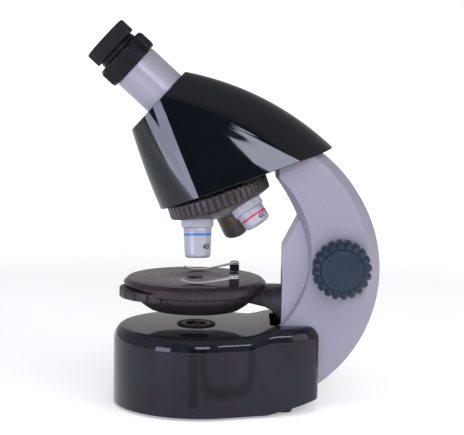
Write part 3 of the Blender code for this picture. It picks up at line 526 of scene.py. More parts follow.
def smoked_plastic():
    """Smoked gloss shell, with faint darker bands of painted shade: an upright strip and a U-shaped band.
    """
    m = gloss_plastic("base smoked gloss", (0.012, 0.0115, 0.016), 0.05, 0.27)
    m.shader.inputs["Specular Tint"].default_value = (1.0, 0.84, 1.0, 1.0)
    cloud = m.noise(0.03, 2)
    m.tint(m.ramp(cloud, 0.46, 0.62, 0.0, 0.9), (0.0115, 0.0165, 0.0205))
    across, _, height = m.split(m.place)

    def area(left, right, bottom, top, edge):
        beside = m.band(across, left + AXIS_X, right + AXIS_X, edge)
        return m.both(beside, m.band(height, bottom, top, edge))

    def apart(value, middle, reach):
        """The fourth power of the distance from the middle, with 1 at its reach."""
        share = m.ramp(value, middle * MM, (middle + reach) * MM, 0.0, 1.0, clamp=False)
        return m.math("POWER", m.math("ABSOLUTE", share), 4.0)

    # Painted shade: a darker upright strip and a U-shaped band, tinted into the colour below.
    bowl = m.math("ADD", apart(across, 20.5 + AXIS_X, 14.5), apart(height, 42.0, 27.0))
    rim = m.both(m.ramp(bowl, 0.25, 0.7, 0.0, 1.0), m.ramp(bowl, 1.0, 1.9, 1.0, 0.0))
    strip, bend = area(-1.5, 4.0, 8, 42, 1.2), m.both(rim, area(4, 37, 5, 42, 0.8))
    for patch in (strip, bend):
        m.tint(m.both(patch, m.ramp(cloud, 0.3, 0.7, 0.95, 0.7)), (0.0016, 0.001, 0.002))
    return m


SATIN = {  # name, colour, roughness, grain, specular level
    "dark": ("satin charcoal", (0.020, 0.015, 0.019), 0.40, 1.0, 0.36),
    "turret": ("turret charcoal", (0.030, 0.021, 0.026), 0.34),
    "stage": ("stage charcoal", (0.018, 0.0095, 0.016), 0.27, 0.45, 0.42),
    "eyepiece": ("eyepiece black", (0.0048, 0.0036, 0.0065), 0.36, 1.0, 0.15),
    "rubber": ("rubber", (0.007, 0.0055, 0.008), 0.5, 1.6, 0.22),
    "knob": ("knob blue grey", (0.010, 0.020, 0.040), 0.42, 1.0, 0.32),
    "ink": ("black ink", (0.012, 0.012, 0.014), 0.5, 0.4),
    "blue": ("blue band", (0.002, 0.14, 0.46), 0.35, 0.4),
    "red": ("red band", (0.42, 0.012, 0.045), 0.35, 0.4),
    # The yellow darkened to olive: painted shade on the far objective's band.
    "yellow": ("yellow band in painted shade", (0.13, 0.10, 0.006), 0.35, 0.4),
    "ring": ("lamp ring", (0.17, 0.14, 0.13), 0.35, 0.5),
    "nylon": ("nylon", (0.62, 0.6, 0.55), 0.45, 0.8),
    "board": ("circuit board", (0.02, 0.16, 0.05), 0.4, 0.8),
}
SILVER = {  # name, colour, roughness, metallic
    "arm": ("arm silver", (0.262, 0.254, 0.318), 0.42, 0.15),
    "rack": ("rack silver", (0.315, 0.305, 0.38), 0.42, 0.15),
    "tube": ("tube silver", (0.275, 0.27, 0.325), 0.36, 0.15),
    "objective": ("objective silver", (0.40, 0.40, 0.45), 0.38, 0.1),
    # Painted shade: the objective silver darkened for the far objective.
    "objective_in_shade": ("objective silver in painted shade", (0.125, 0.108, 0.11), 0.4, 0.1),
    "cell": ("cell sleeve", (0.2, 0.21, 0.24), 0.3, 0.5),
}


def floor_white():
    """White near the object, and brighter with distance until it meets the background."""
    m = Nodes("floor white", (0.95, 0.95, 0.95), 0.6)
    m.tint(m.ramp(m.noise(0.002, 3), 0.3, 0.7, 0.0, 0.3), (0.93, 0.93, 0.94))
    m.shader.inputs["Emission Color"].default_value = (1.0, 1.0, 1.0, 1.0)
    reach = m.put("ShaderNodeVectorMath", operation="LENGTH")
    m.link(m.place, reach.inputs[0])
    glow = m.ramp(reach.outputs["Value"], 480 * MM, 1000 * MM, 0.38, 0.9)
    m.link(glow, m.shader.inputs["Emission Strength"])
    return m


def make_looks():
    looks = {key: satin_plastic(*values) for key, values in SATIN.items()}
    looks.update({key: silver_paint(*values) for key, values in SILVER.items()})
    looks["hood"] = gloss_plastic("hood gloss black", (0.0036, 0.0050, 0.0068), 0.06, 0.38)
    looks["base"] = smoked_plastic()
    looks["steel"] = bright_steel("bright steel", (0.66, 0.64, 0.65), 0.24)
    looks["glass"] = lens_glass()
    looks["led"] = lamp_dome()
    looks["floor"] = floor_white()
    looks["stage"].shader.inputs["Specular Tint"].default_value = (1.0, 0.93, 1.0, 1.0)
    return {key: value.material for key, value in looks.items()}


LOOKS = make_looks()


# ---------------- base

def base_outline(inset):
    """Round front, straight flanks and a narrower rear, whose corners bend into the flat back."""
    front, rear = BASE_RADIUS - inset, BASE_REAR_RADIUS - inset
    back_x = BASE_BACK_X - inset
    tangent = acos((BASE_RADIUS - BASE_REAR_RADIUS) / (BASE_REAR_X - BASE_X))
    back = acos((back_x - BASE_REAR_X) / rear)
    bend_turn, bend_reach = 0.09, 3.0
    half = arc(front, pi, tangent, 64, (BASE_X, 0.0))
    start = Vector(half[-1])
    end = Vector((BASE_REAR_X + rear * cos(tangent), rear * sin(tangent)))
    half += [tuple(start.lerp(end, share)) for share in spread(0, 1, 28)[1:]]
    half += arc(rear, tangent, back + bend_turn, 12, (BASE_REAR_X, 0.0))[1:]
    before, corner = Vector(half[-1]), Vector((back_x, rear * sin(back)))
    after = Vector((back_x, corner.y - bend_reach))
    for share in spread(0, 1, 6)[1:]:
        half.append(tuple(before.lerp(corner, share).lerp(corner.lerp(after, share), share)))
    return half + [(x, -y) for x, y in reversed(half[1:])]


def tail_rise(x):
    """The bottom edge climbs towards the rear."""
    slope = 0.222
    return max(0.0, x - BASE_REAR_X) * slope


def top_rise(x):
    """The top steps up before the arm."""
    step, start, end = 3.8, 30.0, 48.0
    return step * smoothstep(x, start, end)


def base_ring(inset, height, rise):
    return [(x, y, height + rise(x)) for x, y in base_outline(inset)]


def arm_edges(z):
    """X of the arm's outer edge, its bevel, the flat side's front edge and the front rim at one height."""
    held = min(max(z, BASE_TOP), ARM_NECK_Z)

    def arc_x(circle, height):
        x, middle, radius = circle
        return x + sqrt(radius**2 - (height - middle) ** 2)

    face = arc_x(ARM_FACE_INNER, held)
    rim = min(arc_x(ARM_RIM_UPPER, held), arc_x(ARM_RIM_LOWER, held))
    if z > ARM_RIM_UPPER[1]:
        rim = max(rim, ARM_NECK_X)
        face = max(face, ARM_NECK_X + 1.4)
    return arc_x(ARM_OUTER, z), arc_x(ARM_BEVEL, z), face, rim


def arm_section(z, grow):
    out, bevel, face, rim = arm_edges(z)
    half = [(out + grow, ARM_RIM_HALF + grow / 2), (bevel + grow / 2, ARM_HALF + grow)]
    half += [(face - grow / 2, ARM_HALF + grow), (rim - grow, ARM_RIM_HALF + grow / 2)]
    return [(x, y, z) for x, y in half] + [(x, -y, z) for x, y in reversed(half)]


def arm_slot(grow, count):
    """Cutter for the arm's way through the base, larger than the arm all round."""
    return loft([arm_section(z, grow) for z in spread(ARM_BOTTOM - 0.4, CLEAR_UP, count)])


def build_base():
    wall = BASE_WALL
    rings = [base_ring(wall, BASE_TOP - wall, top_rise)]
    edge = ((wall, 0.4), (wall - 0.4, 0.0), (0.5, 0.0), (0.12, 0.15), (0.0, 0.6))
    rings += [base_ring(inset, BASE_BOTTOM + lift, tail_rise) for inset, lift in edge]
    for angle in spread(0, pi / 2, 12):
        inset = BASE_FILLET * (1 - cos(angle))
        rings.append(base_ring(inset, BASE_TOP - BASE_SHOULDER * (1 - sin(angle)), top_rise))
    bm = loft(rings, cap="ladder")
    housing = finish("base_shell", bm, "base", "stand", ["base_housing"], "smoked")
    front, half, floor = 44.5, 20.5, 16.0  # the well that the rack housing stands in
    well = rounded([(front, -half), (CLEAR_UP, -half), (CLEAR_UP, half), (front, half)], [2.5, 0, 0, 2.5])
    lamp = turn([(0, 60), (11.9, 60), (11.6, 46.9), (11.6, 46.2), (9.5, 46.2), (9.5, 40), (0, 40)], 72)
    switch_recess = prism(rounded([(-8, 19.5), (12, 19.5), (12, 30.5), (-8, 30.5)], 2.0), 48.3, 60)
    switch_window = box((-2.9, 40.0, 22.0), (6.9, 60.0, 28.0))
    carve(housing, arm_slot(0.35, 40), prism(well, floor, CLEAR_UP, axis="Z"),
          (lamp, Matrix.Translation((LAMP_X, 0, 0))), switch_recess, switch_window)
    walls = box((front - 2.2, -half - 2.3, 11.0), (70.5, half + 2.3, BASE_TOP - 2.0))
    liner = finish("well_liner", walls, "dark", "stand", [], "dark")
    inside = box((front + 0.1, 0.1 - half, floor), (CLEAR_UP, half - 0.1, CLEAR_UP))
    carve(liner, arm_slot(0.4, 24), inside)


def build_lamp():
    at = Matrix.Translation((LAMP_X, 0, 0))

    def part(name, profile, steps, look, nodes=(), slot="dark", hollow=False):
        finish(name, turn(profile, steps, hollow), look, "stand", nodes, slot, at)

    bezel = [(9.0, 47.35), (9.15, 47.75), (9.6, 47.95), (10.7, 47.95), (11.15, 47.8), (11.3, 47.4)]
    bezel += [(11.3, 46.5), (9.2, 46.5), (9.2, 41.0), (8.6, 41.0), (8.6, 46.9)]
    part("lamp_bezel", bezel, 96, "rubber", ["illuminator_bezel"], hollow=True)
    ring = [(7.05, 47.5), (7.3, 47.8), (8.35, 47.8), (8.55, 47.5), (8.5, 45.8), (8.5, 44.0), (7.0, 44.0)]
    ring += [(7.0, 46.5)]
    part("lamp_ring", ring, 96, "ring", hollow=True)
    cup = [(0, 44.3), (2.6, 44.3), (5.0, 44.9), (6.6, 46.9), (6.7, 47.2), (6.95, 47.2), (6.95, 45.6)]
    cup += [(5.2, 43.6), (0, 43.4)]
    part("lamp_cup", cup, 72, "dark")
    dome = [(0.0, 47.9)] + arc(2.5, pi / 2 - 0.12, 0, 12, (0.0, 45.4)) + [(2.5, 44.5), (0, 44.5)]
    part("lamp_lens", dome, 48, "glass", ["collector_lens"], "glass")


# ---------------- arm

def build_arm():
    levels = spread(ARM_BOTTOM, BASE_TOP, 12) + spread(BASE_TOP + 0.8, ARM_TOP, 116)
    skin, skin_rim = ARM_HALF - ARM_WALL, ARM_RIM_HALF - ARM_WALL / 2
    for name, side in (("near", -1), ("far", 1)):
        rings = []
        for z in levels:
            out, bevel, face, rim = arm_edges(z)
            outer = [(out - 0.25, 0.02), (out, 0.3), (out, ARM_RIM_HALF), (bevel, ARM_HALF)]
            outer += [(face, ARM_HALF), (rim, ARM_RIM_HALF), (rim, 0.3), (rim + 0.25, 0.02)]
            outer = rounded(outer, [0, 0, 2.2, 1.6, 0.7, 1.2, 0, 0], 4, closed=False)
            inner = [(rim + ARM_WALL, 0.02), (rim + ARM_WALL, skin_rim), (face + 1.8, skin)]
            inner += [(bevel - 1.2, skin), (out - ARM_WALL, skin_rim), (out - ARM_WALL, 0.02)]
            rings.append([(x, side * y, z) for x, y in outer + inner])
        bm = loft(rings)
        shell = finish(f"arm_{name}", bm, "arm", "stand", [f"arm_shell_{name}"], "silver", sharp=50)
        housing_window = box((20, -15.4, 20), (75, 15.4, 113.2))
        shaft_hole = disc(5.5, -40, 40)
        carve(shell, housing_window, (shaft_hole, along_y(FOCUS.x, 0, FOCUS.z)))


def build_rack_housing():
    front, back, half, fold, taper = 51.0, 71.5, 15.0, 93.0, 0.1  # narrower above the fold
    outline = [(front, 24.0), (back, 24.0), (back, fold), (back, 106.0), (67.0, 112.8), (60.0, 112.8)]
    outline += [(front, 94.6), (front, fold)]
    flank = [(x, half - max(0.0, z - fold) * taper, z) for x, z in outline]
    bm = loft([[(x, side * y, z) for x, y, z in flank] for side in (-1, 1)])
    housing = finish("rack_cover", bm, "rack", "stand", ["rack_housing"], "silver")
    cavity = prism([(53.2, 27.0), (80, 27.0), (80, 104.0), (60.0, 104.0), (53.2, 92.0)], -12.6, 12.6)
    slot = box((45.0, -11.3, 44.0), (60.0, 11.3, 81.0))
    carve(housing, cavity, slot)
    soften(housing, 0.55, 3, 8)


def build_knob(name, side):
    """Deep lugs round the rim, a groove, then a domed cap."""
    place = along_y(FOCUS.x, side * 21.0, FOCUS.z)
    if side < 0:
        place = place @ Matrix.Rotation(pi, 4, "X")
    profile = [(5.6, 7.0, 0), (5.6, 0.0, 0), (12.8, 0.0, 0), (12.8, 7.0, 0)]
    profile += [(16.0, 0.0, 0.6), (16.7, 0.15, 1.0), (17.1, 0.7, 1.3), (17.2, 1.5, 1.5), (17.2, 7.6, 1.5)]
    profile += [(17.05, 8.5, 1.5), (16.6, 9.3, 1.55), (15.8, 10.0, 1.6), (14.8, 10.6, 1.5)]
    profile += [(13.8, 11.05, 1.1), (13.1, 11.25, 0.5), (12.7, 11.2, 0), (12.5, 10.9, 0), (12.3, 10.9, 0)]
    profile.append((12.15, 11.2, 0))
    cap, cap_foot, cap_rise = 11.8, 11.7, 1.45
    profile.append((cap, 11.65, 0))
    for share in spread(0.95, 0.06, 12):
        profile.append((cap * share, cap_foot + cap_rise * (1 - share**2), 0))
    bm = ribbed(profile, 20, 12, lug_shape(0.6, 0.2))
    finish(f"{name}_grip", bm, "knob", "focus_drive", [name], "blue_knob", place, sharp=60)


# ---------------- stage

def build_stage_plate():
    top, radius = STAGE_TOP, STAGE_RADIUS
    drops = [(4.5, 0.4), (4.6, 0.1), (4.9, 0), (39.3, 0), (39.7, 0.12), (radius - 0.2, 2.05)]
    drops += [(radius, 2.35), (radius, 2.75), (radius - 0.2, 2.95), (41.0, 3.0), (40.8, 3.2), (40.55, 6.6)]
    drops += [(40.4, 6.85), (39.9, 7.0), (39.7, 7.3), (39.4, 7.5), (37.6, 7.5), (37.6, 3.1), (4.5, 3.1)]
    bm = turn([(reach, top - drop) for reach, drop in drops], 180, hollow=True)
    plate = finish("stage_table", bm, "stage", "stage", ["stage_plate"], "dark")
    angle, opening = atan2(WHEEL.y, WHEEL.x), radians(33)  # the rim opens over the filter wheel
    outside, inside, below = 60, 36, 60
    sector = arc(outside, angle - opening, angle + opening, 17)
    sector += arc(inside, angle + opening, angle - opening, 17)
    notch = box((30, -TAB_HALF, below), (outside, TAB_HALF, 70.7))
    carve(plate, prism(sector, below, 70.8, axis="Z"), notch)


def build_stage_dish(wheel_at):
    bowl = [(9.0, 59.0), (25.5, 59.0), (34.0, 64.9), (35.2, 67.2), (35.2, 71.6), (37.2, 71.6)]
    bowl += [(37.2, 67.4), (37.0, 66.4), (36.5, 65.0), (35.8, 63.9)]
    for share in spread(0.08, 0.94, 10):
        bowl.append((35.8 - 8.8 * share, 63.9 - 6.8 * share - 0.35 * sin(pi * share)))
    bowl += [(27.0, 57.1), (26.5, 57.0), (9.4, 57.0), (9.0, 57.3)]
    bm = turn(bowl, 150, hollow=True)
    dish = finish("stage_bowl", bm, "dark", "stage", ["stage_dish"], "dark")
    tab = box((28, -TAB_HALF, 60.4), (60, TAB_HALF, 80))
    carve(dish, (disc(WHEEL_POCKET, 64.5, 80.0, 96), wheel_at), tab)


def build_filter_wheel(wheel_at):
    """Coarse lugs round the rim, and five apertures that pass the optical axis."""
    profile = [(25.2, 64.8, 0), (26.2, 65.0, 0.9), (26.5, 65.5, 1.1), (26.5, 69.6, 1.1), (26.2, 70.1, 0.9)]
    profile.append((25.2, 70.3, 0))
    bm = ribbed(profile, 20, 16, lug_shape(0.86, 0.07))
    wheel = finish("filter_disc", bm, "dark", "filter_disc", ["filter_wheel"], "dark", wheel_at)
    to_axis, apart = atan2(-WHEEL.y, -WHEEL.x), hypot(WHEEL.x, WHEEL.y)
    holes, pivot, widest, count = [], 2.5, 5.5, 5
    holes.append((disc(pivot, 60, 75), wheel_at))
    for i in range(count):
        spot = around(to_axis + tau * i / count, apart)
        holes.append((disc(widest - i, 60, 75), wheel_at @ Matrix.Translation(spot)))
    carve(wheel, *holes)


def build_stage():
    wheel_at = Matrix.Translation((WHEEL.x, WHEEL.y, 0))
    build_stage_plate()
    build_stage_dish(wheel_at)
    build_filter_wheel(wheel_at)


def screw_head(name, body, node, place, radius=2.8, height=1.2, shank=1.35, length=8.0):
    """Domed head with a cross recess."""
    profile = [(0, height)]
    for angle in spread(0.2, pi / 2, 7):
        profile.append((radius * sin(angle), height * (0.3 + 0.7 * cos(angle))))
    profile += [(radius, 0.1), (radius - 0.15, 0), (shank, 0), (shank, -length + 0.6), (0, -length)]
    head = finish(name, turn(profile, 48), "steel", body, [node], "steel", place)
    arm, thin = radius * 0.62, radius * 0.13
    carve(head, (box((-arm, -thin, height * 0.45), (arm, thin, height + 1)), place),
          (box((-thin, -arm, height * 0.45), (thin, arm, height + 1)), place))


def build_clips():
    post = [(2.5, 75.3, 0), (2.85, 75.45, 0.3), (2.9, 75.8, 0.4), (2.9, 78.4, 0.4), (2.8, 78.7, 0.3)]
    post.append((2.4, 78.9, 0))
    for name, side in (("near", -1), ("far", 1)):
        body, at = f"clip_{name}", Matrix.Translation((CLIP.x, side * CLIP.y, 0))
        bm = ribbed(post, 12, 6, lug_shape(0.5, 0.3))
        finish(f"clip_post_{name}", bm, "rubber", "stage", [f"clip_bush_{name}"], "dark", at)
        bm = clip_mesh(side)
        strip = finish(f"clip_strip_{name}", bm, "steel", body, [f"clip_spring_{name}"], "steel")
        carve(strip, (disc(1.7, 70, 90, 32), at))
        place = at @ Matrix.Translation((0, 0, 80.2))
        screw_head(f"clip_head_{name}", body, f"clip_screw_{name}", place)


def clip_half_width(x):
    """Widened about the post, with round ends."""
    wide, narrow, post_x, post_radius, tip_x, tip_reach = 3.1, 2.5, 23.2, 3.15, -6.4, 2.8
    if x > post_x:
        return sqrt(max(0.2, post_radius**2 - (x - post_x) ** 2))
    if x < tip_x:
        return narrow * sqrt(max(0.12, 1 - ((tip_x - x) / tip_reach) ** 2))
    return narrow + (wide - narrow) * smoothstep(x, 16, 21)


def clip_mesh(side):
    """A strip bent down to the stage, its tip turned up, with a round end about the post."""
    first, step = 26.4, 2.8  # the knots lie evenly along X
    knots = [(26.0, 79.2), (26.0, 79.2), (25.9, 79.0), (25.8, 78.4), (25.6, 77.75), (25.4, 77.1)]
    knots += [(25.3, 76.45), (25.1, 75.85), (25.0, 75.45), (24.8, 75.35), (24.6, 75.45), (24.4, 76.1)]
    knots.append((24.2, 77.2))
    knots = [(first - step * i, y, z) for i, (y, z) in enumerate(knots)]
    section = [(-1, 0.15), (-0.93, 0), (0.93, 0), (1, 0.15)]
    section += [(1, 0.5), (0.93, 0.65), (-0.93, 0.65), (-1, 0.5)]
    rings = []
    for share in spread(0, 1, (len(knots) - 1) * 5 + 1):
        point = through(knots, share)
        half = clip_half_width(point.x)
        rings.append([(point.x, side * (point.y + across * half), point.z + up) for across, up in section])
    return loft(rings)


# ---------------- turret

def objective_place(turned):
    down = -TURRET_UP
    angle = radians(turned) + TURRET_TURN
    out = Vector((-cos(TILT), 0, -sin(TILT))) * cos(angle) + Vector((0, sin(angle), 0))
    seat = TURRET + OBJECTIVE_DROP * down + OBJECTIVE_RING * out
    return frame_along(seat, cos(TILT) * down + sin(TILT) * out)


def build_turret():
    profile = [(20.0, 1.2, 0), (27.8, 1.2, 0), (28.2, 2.0, 0), (29.3, 2.0, 0), (30.1, 1.75, 0.5)]
    profile += [(30.5, 1.2, 1.0), (30.6, 0.4, 1.15), (30.6, -5.0, 1.15), (30.5, -5.6, 1.1)]
    profile += [(30.1, -6.1, 0.9), (29.4, -6.35, 0.4), (28.8, -6.4, 0), (28.4, -6.75, 0)]
    for share in spread(0.12, 0.96, 10):
        profile.append((28.4 - 20.2 * share, -6.75 - 7.0 * share - 0.5 * sin(pi * share), 0))
    profile += [(8.2, -13.8, 0), (7.6, -14.0, 0), (3.0, -14.0, 0), (3.0, 1.2, 0)]
    place = frame_along(TURRET, TURRET_UP, TURRET_TURN)
    bm = ribbed(profile, 48, 12, KNURL, closed=True)
    plate = finish("turret_body", bm, "turret", "turret", ["turret_plate"], "dark", place, sharp=50)
    cuts = [(disc(5.3, -20, -11.4), place)]
    for _, turned, _, _ in OBJECTIVES.values():
        at = objective_place(turned)
        cuts += [(disc(6.3, -20, 5), at), (disc(9.8, -0.3, 12), at)]
    carve(plate, *cuts)
    place = frame_along(TURRET - 11.8 * TURRET_UP, -TURRET_UP)
    screw_head("turret_screw_head", "stand", "turret_pivot_screw", place, 4.8, 2.2, 2.6, 16.0)


def build_objective(name):
    """Knurled collar, stepped barrel with a painted band, rounded nose and bore."""
    length, turned, band, figures = OBJECTIVES[name]
    at = objective_place(turned)
    # The far (medium) objective gets the silver darkened as painted shade.
    silver = "objective_in_shade" if name == "medium" else "objective"

    def part(suffix, bm, look, nodes, slot="silver_tube", **settings):
        finish(f"objective_{name}_{suffix}", bm, look, "turret", nodes, slot, at, **settings)

    collar = [(6.2, -0.05, 0), (8.8, 0.0, 0), (9.3, 0.2, 0.1), (9.45, 0.7, 0.5), (9.45, 4.4, 0.5)]
    collar += [(9.3, 4.9, 0.25), (8.9, 5.3, 0), (8.35, 5.4, 0), (6.2, 5.4, 0)]
    part("collar", ribbed(collar, 36, 12, KNURL, closed=True), silver, [], sharp=50)
    straight = length - NOSE_LENGTH
    nose = 8.2 - 0.55 * (straight - 5.5) / 15.1  # the long barrel is the slimmest
    barrel = [(4.0, -5.5), (6.0, -5.5), (6.0, 5.45), (8.1, 5.45), (8.25, 5.6), (8.22, 7.4), (8.05, 7.5)]
    barrel += [(8.05, 7.7), (8.2, 7.8), (BARREL_TOP, TAPER_START), (nose, straight)]
    for angle in spread(0.2, pi / 2, 7):
        barrel.append((nose - 1.7 * (1 - cos(angle)), straight + 2.45 * sin(angle)))
    barrel += [(nose - 2.3, length), (4.4, length), (4.0, length - 0.3)]
    part("barrel", turn(barrel, 96, hollow=True), silver, [f"objective_{name}"], sharp=50)
    wide = 2.5 if name == "medium" else 1.4
    paint = [(7.9, 10.27 - wide), (8.17, 10.3 - wide), (8.15, 10.2), (7.9, 10.23)]
    part("band", turn(paint, 96, hollow=True), band, [])
    dish, middle = 3.7, length - 0.9
    lens = [(0, middle)] + [(dish * share, middle - 0.8 * share**2) for share in spread(0.15, 1, 8)]
    lens += [(dish, length - 3.4), (0, length - 3.4)]
    part("glass", turn(lens, 48), "glass", [f"objective_lens_{name}"], "glass")
    part("mark", figures_on_barrel(figures, at, length, nose), "ink", [], "dark")


def figures_on_barrel(figures, at, length, nose):
    """Raised figures wrapped round the tapered barrel, upright on the working objective."""
    curve = bpy.data.curves.new("figures", "FONT")
    curve.body = figures
    curve.size = 4.3
    curve.extrude = 0.14
    curve.offset = 0.07
    curve.resolution_u = 3
    text = in_scene("figures", curve)
    bpy.context.view_layer.update()
    mesh = bpy.data.meshes.new_from_object(text.evaluated_get(bpy.context.evaluated_depsgraph_get()))
    bpy.data.objects.remove(text, do_unlink=True)
    bm = bmesh.new()
    bm.from_mesh(mesh)
    bmesh.ops.remove_doubles(bm, verts=bm.verts, dist=1e-5)
    foot = length - 5.1 if length > 18 else length - 1.5
    nearest = at.to_3x3().inverted() @ Vector((0.42, -1, 0))
    start, straight = atan2(nearest.y, nearest.x), length - NOSE_LENGTH - TAPER_START
    for vert in bm.verts:
        angle = start - 0.74 * vert.co.x / 8
        height = foot - vert.co.y
        tapered = BARREL_TOP + (nose - BARREL_TOP) * (height - TAPER_START) / straight
        vert.co = around(angle, tapered + vert.co.z, height)
    return bm


# ---------------- head

def face_point(u, y, lift=0.0):
    along = (HOOD_FACE_HIGH - HOOD_FACE_LOW).normalized()
    point = HOOD_FACE_LOW + along * u
    return Vector((point.x, y, point.y)) + TUBE_OUT * lift


def rim_height(x, y):
    return HOOD_RIM_FRONT[1] + (x - HOOD_RIM_FRONT[0]) * HOOD_RIM_SLOPE + 1.6 * (abs(y) / 32) ** 2


def hood_lines(inset):
    """Each line's place on the face (U, Y), its place on the rim (X, Y) and its bulge, front to back."""
    low, high, rim_radius = HOOD_LOW_U - inset, HOOD_FACE_HALF - inset, HOOD_RIM_RADIUS - inset
    lines = []
    for share in spread(0, 1, 34):
        angle, turned = share * radians(91), radians(180 - 70 * share)
        face = (HOOD_LOW_U - low * cos(angle) + 2.8 * share**3, low * sin(angle))
        rim = (HOOD_RIM_X + rim_radius * cos(turned), rim_radius * sin(turned))
        lines.append((face, rim, 0.8))
    start_face, start_rim = Vector(lines[-1][0]), Vector(lines[-1][1])
    facet_u, facet_y = HOOD_FACET_FACE
    side = [(x, y - inset) for x, y in (HOOD_FACET_RIM, *HOOD_SIDE_RIM)]
    for share in spread(0, 1, 7)[1:]:
        face = start_face.lerp(Vector((facet_u, facet_y - inset)), share)
        rim = start_rim.lerp(Vector(side[0]), share)
        lines.append((tuple(face), tuple(rim), 0.8 + 0.4 * share))
    for share in spread(0, 1, 30)[1:]:
        widen = (HOOD_FACE_HALF - facet_y) * share
        face = (facet_u + (HOOD_HIGH_U - facet_u) * share, facet_y + widen - inset)
        lines.append((face, tuple(through(side, share)), 1.2 + 1.3 * share**1.5))
    side_x, side_y = side[-1]
    for share in spread(0, 1, 40)[1:]:
        angle = share * pi / 2
        across = cos(angle)
        rise = HOOD_CREASE * (1 - across**2) + (1 - HOOD_CREASE) * sin(angle)
        rim = (side_x + (HOOD_TAIL - inset) * rise, side_y * across)
        lines.append(((HOOD_HIGH_U + high * rise, high * across), rim, 2.5 + 4.5 * sin(angle) ** 1.2))
    return lines


def hood_surface(shares, inset=0.0):
    """Rings round the hood at shares of the way from face to rim. Each line bulges between its ends."""
    lines = hood_lines(inset)
    tops = [face_point(u, y, -inset) for (u, y), rim, swell in lines]
    lows = [Vector((x, y, rim_height(x, y))) for face, (x, y), swell in lines]
    swells = [swell for face, rim, swell in lines]
    flip = Matrix.Diagonal((1, -1, 1))
    tops += [flip @ p for p in reversed(tops[1:-1])]
    lows += [flip @ p for p in reversed(lows[1:-1])]
    swells += swells[-2:0:-1]
    count = len(tops)
    rings = []
    for share in shares:
        flat = [top.lerp(low, share) for top, low in zip(tops, lows)]
        ring = []
        for i in range(count):
            across = flat[(i + 1) % count] - flat[i - 1]
            out = across.cross(lows[i] - tops[i]).normalized()
            ring.append(flat[i] + out * swells[i] * 4 * share * (1 - share))
        rings.append(ring)
    return rings


def build_hood():
    """One closed skin: round the tube's hole, over the face's edge, down to the rim and back up inside."""
    outer = hood_surface([0.012] + spread(0.03, 0.985, 44) + [0.994])
    inner = hood_surface([0.02] + spread(0.08, 0.99, 16), HOOD_WALL)
    face_edge, rim_outer = hood_surface([0.0, 1.0])
    (rim_inner,) = hood_surface([1.0], HOOD_WALL)
    middle = face_point(HOOD_HIGH_U, 0)
    hole, rest, lip, back = [], [], [], []
    for point in face_edge:
        ray = (point - middle).normalized()
        hole.append(middle + ray * TUBE_HOLE - TUBE_OUT * 0.35)
        rest.append(middle + ray * (TUBE_HOLE + 0.3))
        lip.append(point - ray * 0.7)
        back.append(middle + ray * TUBE_HOLE - TUBE_OUT * HOOD_WALL)
    edge = [point.lerp(row, 0.5) + (point - row) * 0.2 for point, row in zip(face_edge, outer[0])]
    rim, bottom, inside = [], [], []
    for point, within in zip(rim_outer, rim_inner):
        rim.append(point.lerp(within, 0.12) + Vector((0, 0, 0.02)))
        bottom.append(point.lerp(within, 0.3))
        inside.append(point.lerp(within, 0.85))
    rings = [hole, rest, lip, edge] + outer + [rim, bottom, inside] + inner[::-1] + [back]
    bm = loft(rings, closed=True)
    finish("hood_shell", bm, "hood", "stand", ["hood"], "hood_black", sharp=11)


def build_eyepiece():
    at = frame_along(TUBE, TUBE_OUT)
    tube = [(12.3, -14.0), (14.35, -14.0), (14.35, 21.6), (14.28, 22.3), (14.0, 22.65), (13.6, 22.7)]
    tube.append((12.3, 22.7))
    bm = turn(tube, 128, hollow=True)
    finish("tube_body", bm, "tube", "stand", ["eyepiece_tube"], "silver_tube", at)
    build_zoom_ring("eyepiece", at @ Matrix.Rotation(radians(12), 4, "Z"))
    barrel = [(9.6, 2.0), (11.9, 2.0), (11.9, 34.7), (12.45, 34.8), (12.6, 35.0), (12.6, 36.6)]
    barrel += [(12.1, 37.0), (12.1, 37.5), (11.5, 37.7), (11.5, 45.4), (9.6, 45.4)]
    bm = turn(barrel, 96, hollow=True)
    finish("eyepiece_body", bm, "eyepiece", "eyepiece", ["eyepiece_barrel"], "dark", at)
    cup = [(11.9, 37.8, 0), (13.7, 37.8, 0), (14.3, 38.0, 0.2), (14.55, 38.4, 0.5), (14.55, 45.6, 0.5)]
    cup += [(14.45, 46.2, 0.4), (14.1, 46.6, 0.1), (13.6, 46.8, 0), (9.6, 46.8, 0), (9.0, 46.6, 0)]
    cup += [(8.8, 46.2, 0), (9.0, 45.7, 0), (11.9, 45.7, 0)]
    bm = ribbed(cup, 72, 8, lug_shape(0.56, 0.4), closed=True)
    finish("eyecup_body", bm, "rubber", "eyepiece", ["eyecup"], "rubber", at, sharp=60)
    radius, front, back = 9.3, 44.2, 39.0
    lens = [(0, front)] + [(radius * share, front - 1.6 * share**2) for share in spread(0.1, 1, 10)]
    lens += [(radius * share, back + 1.4 * share**2) for share in spread(1, 0.1, 10)] + [(0, back)]
    finish("eyepiece_glass", turn(lens, 72), "glass", "eyepiece", ["eye_lens"], "glass", at)


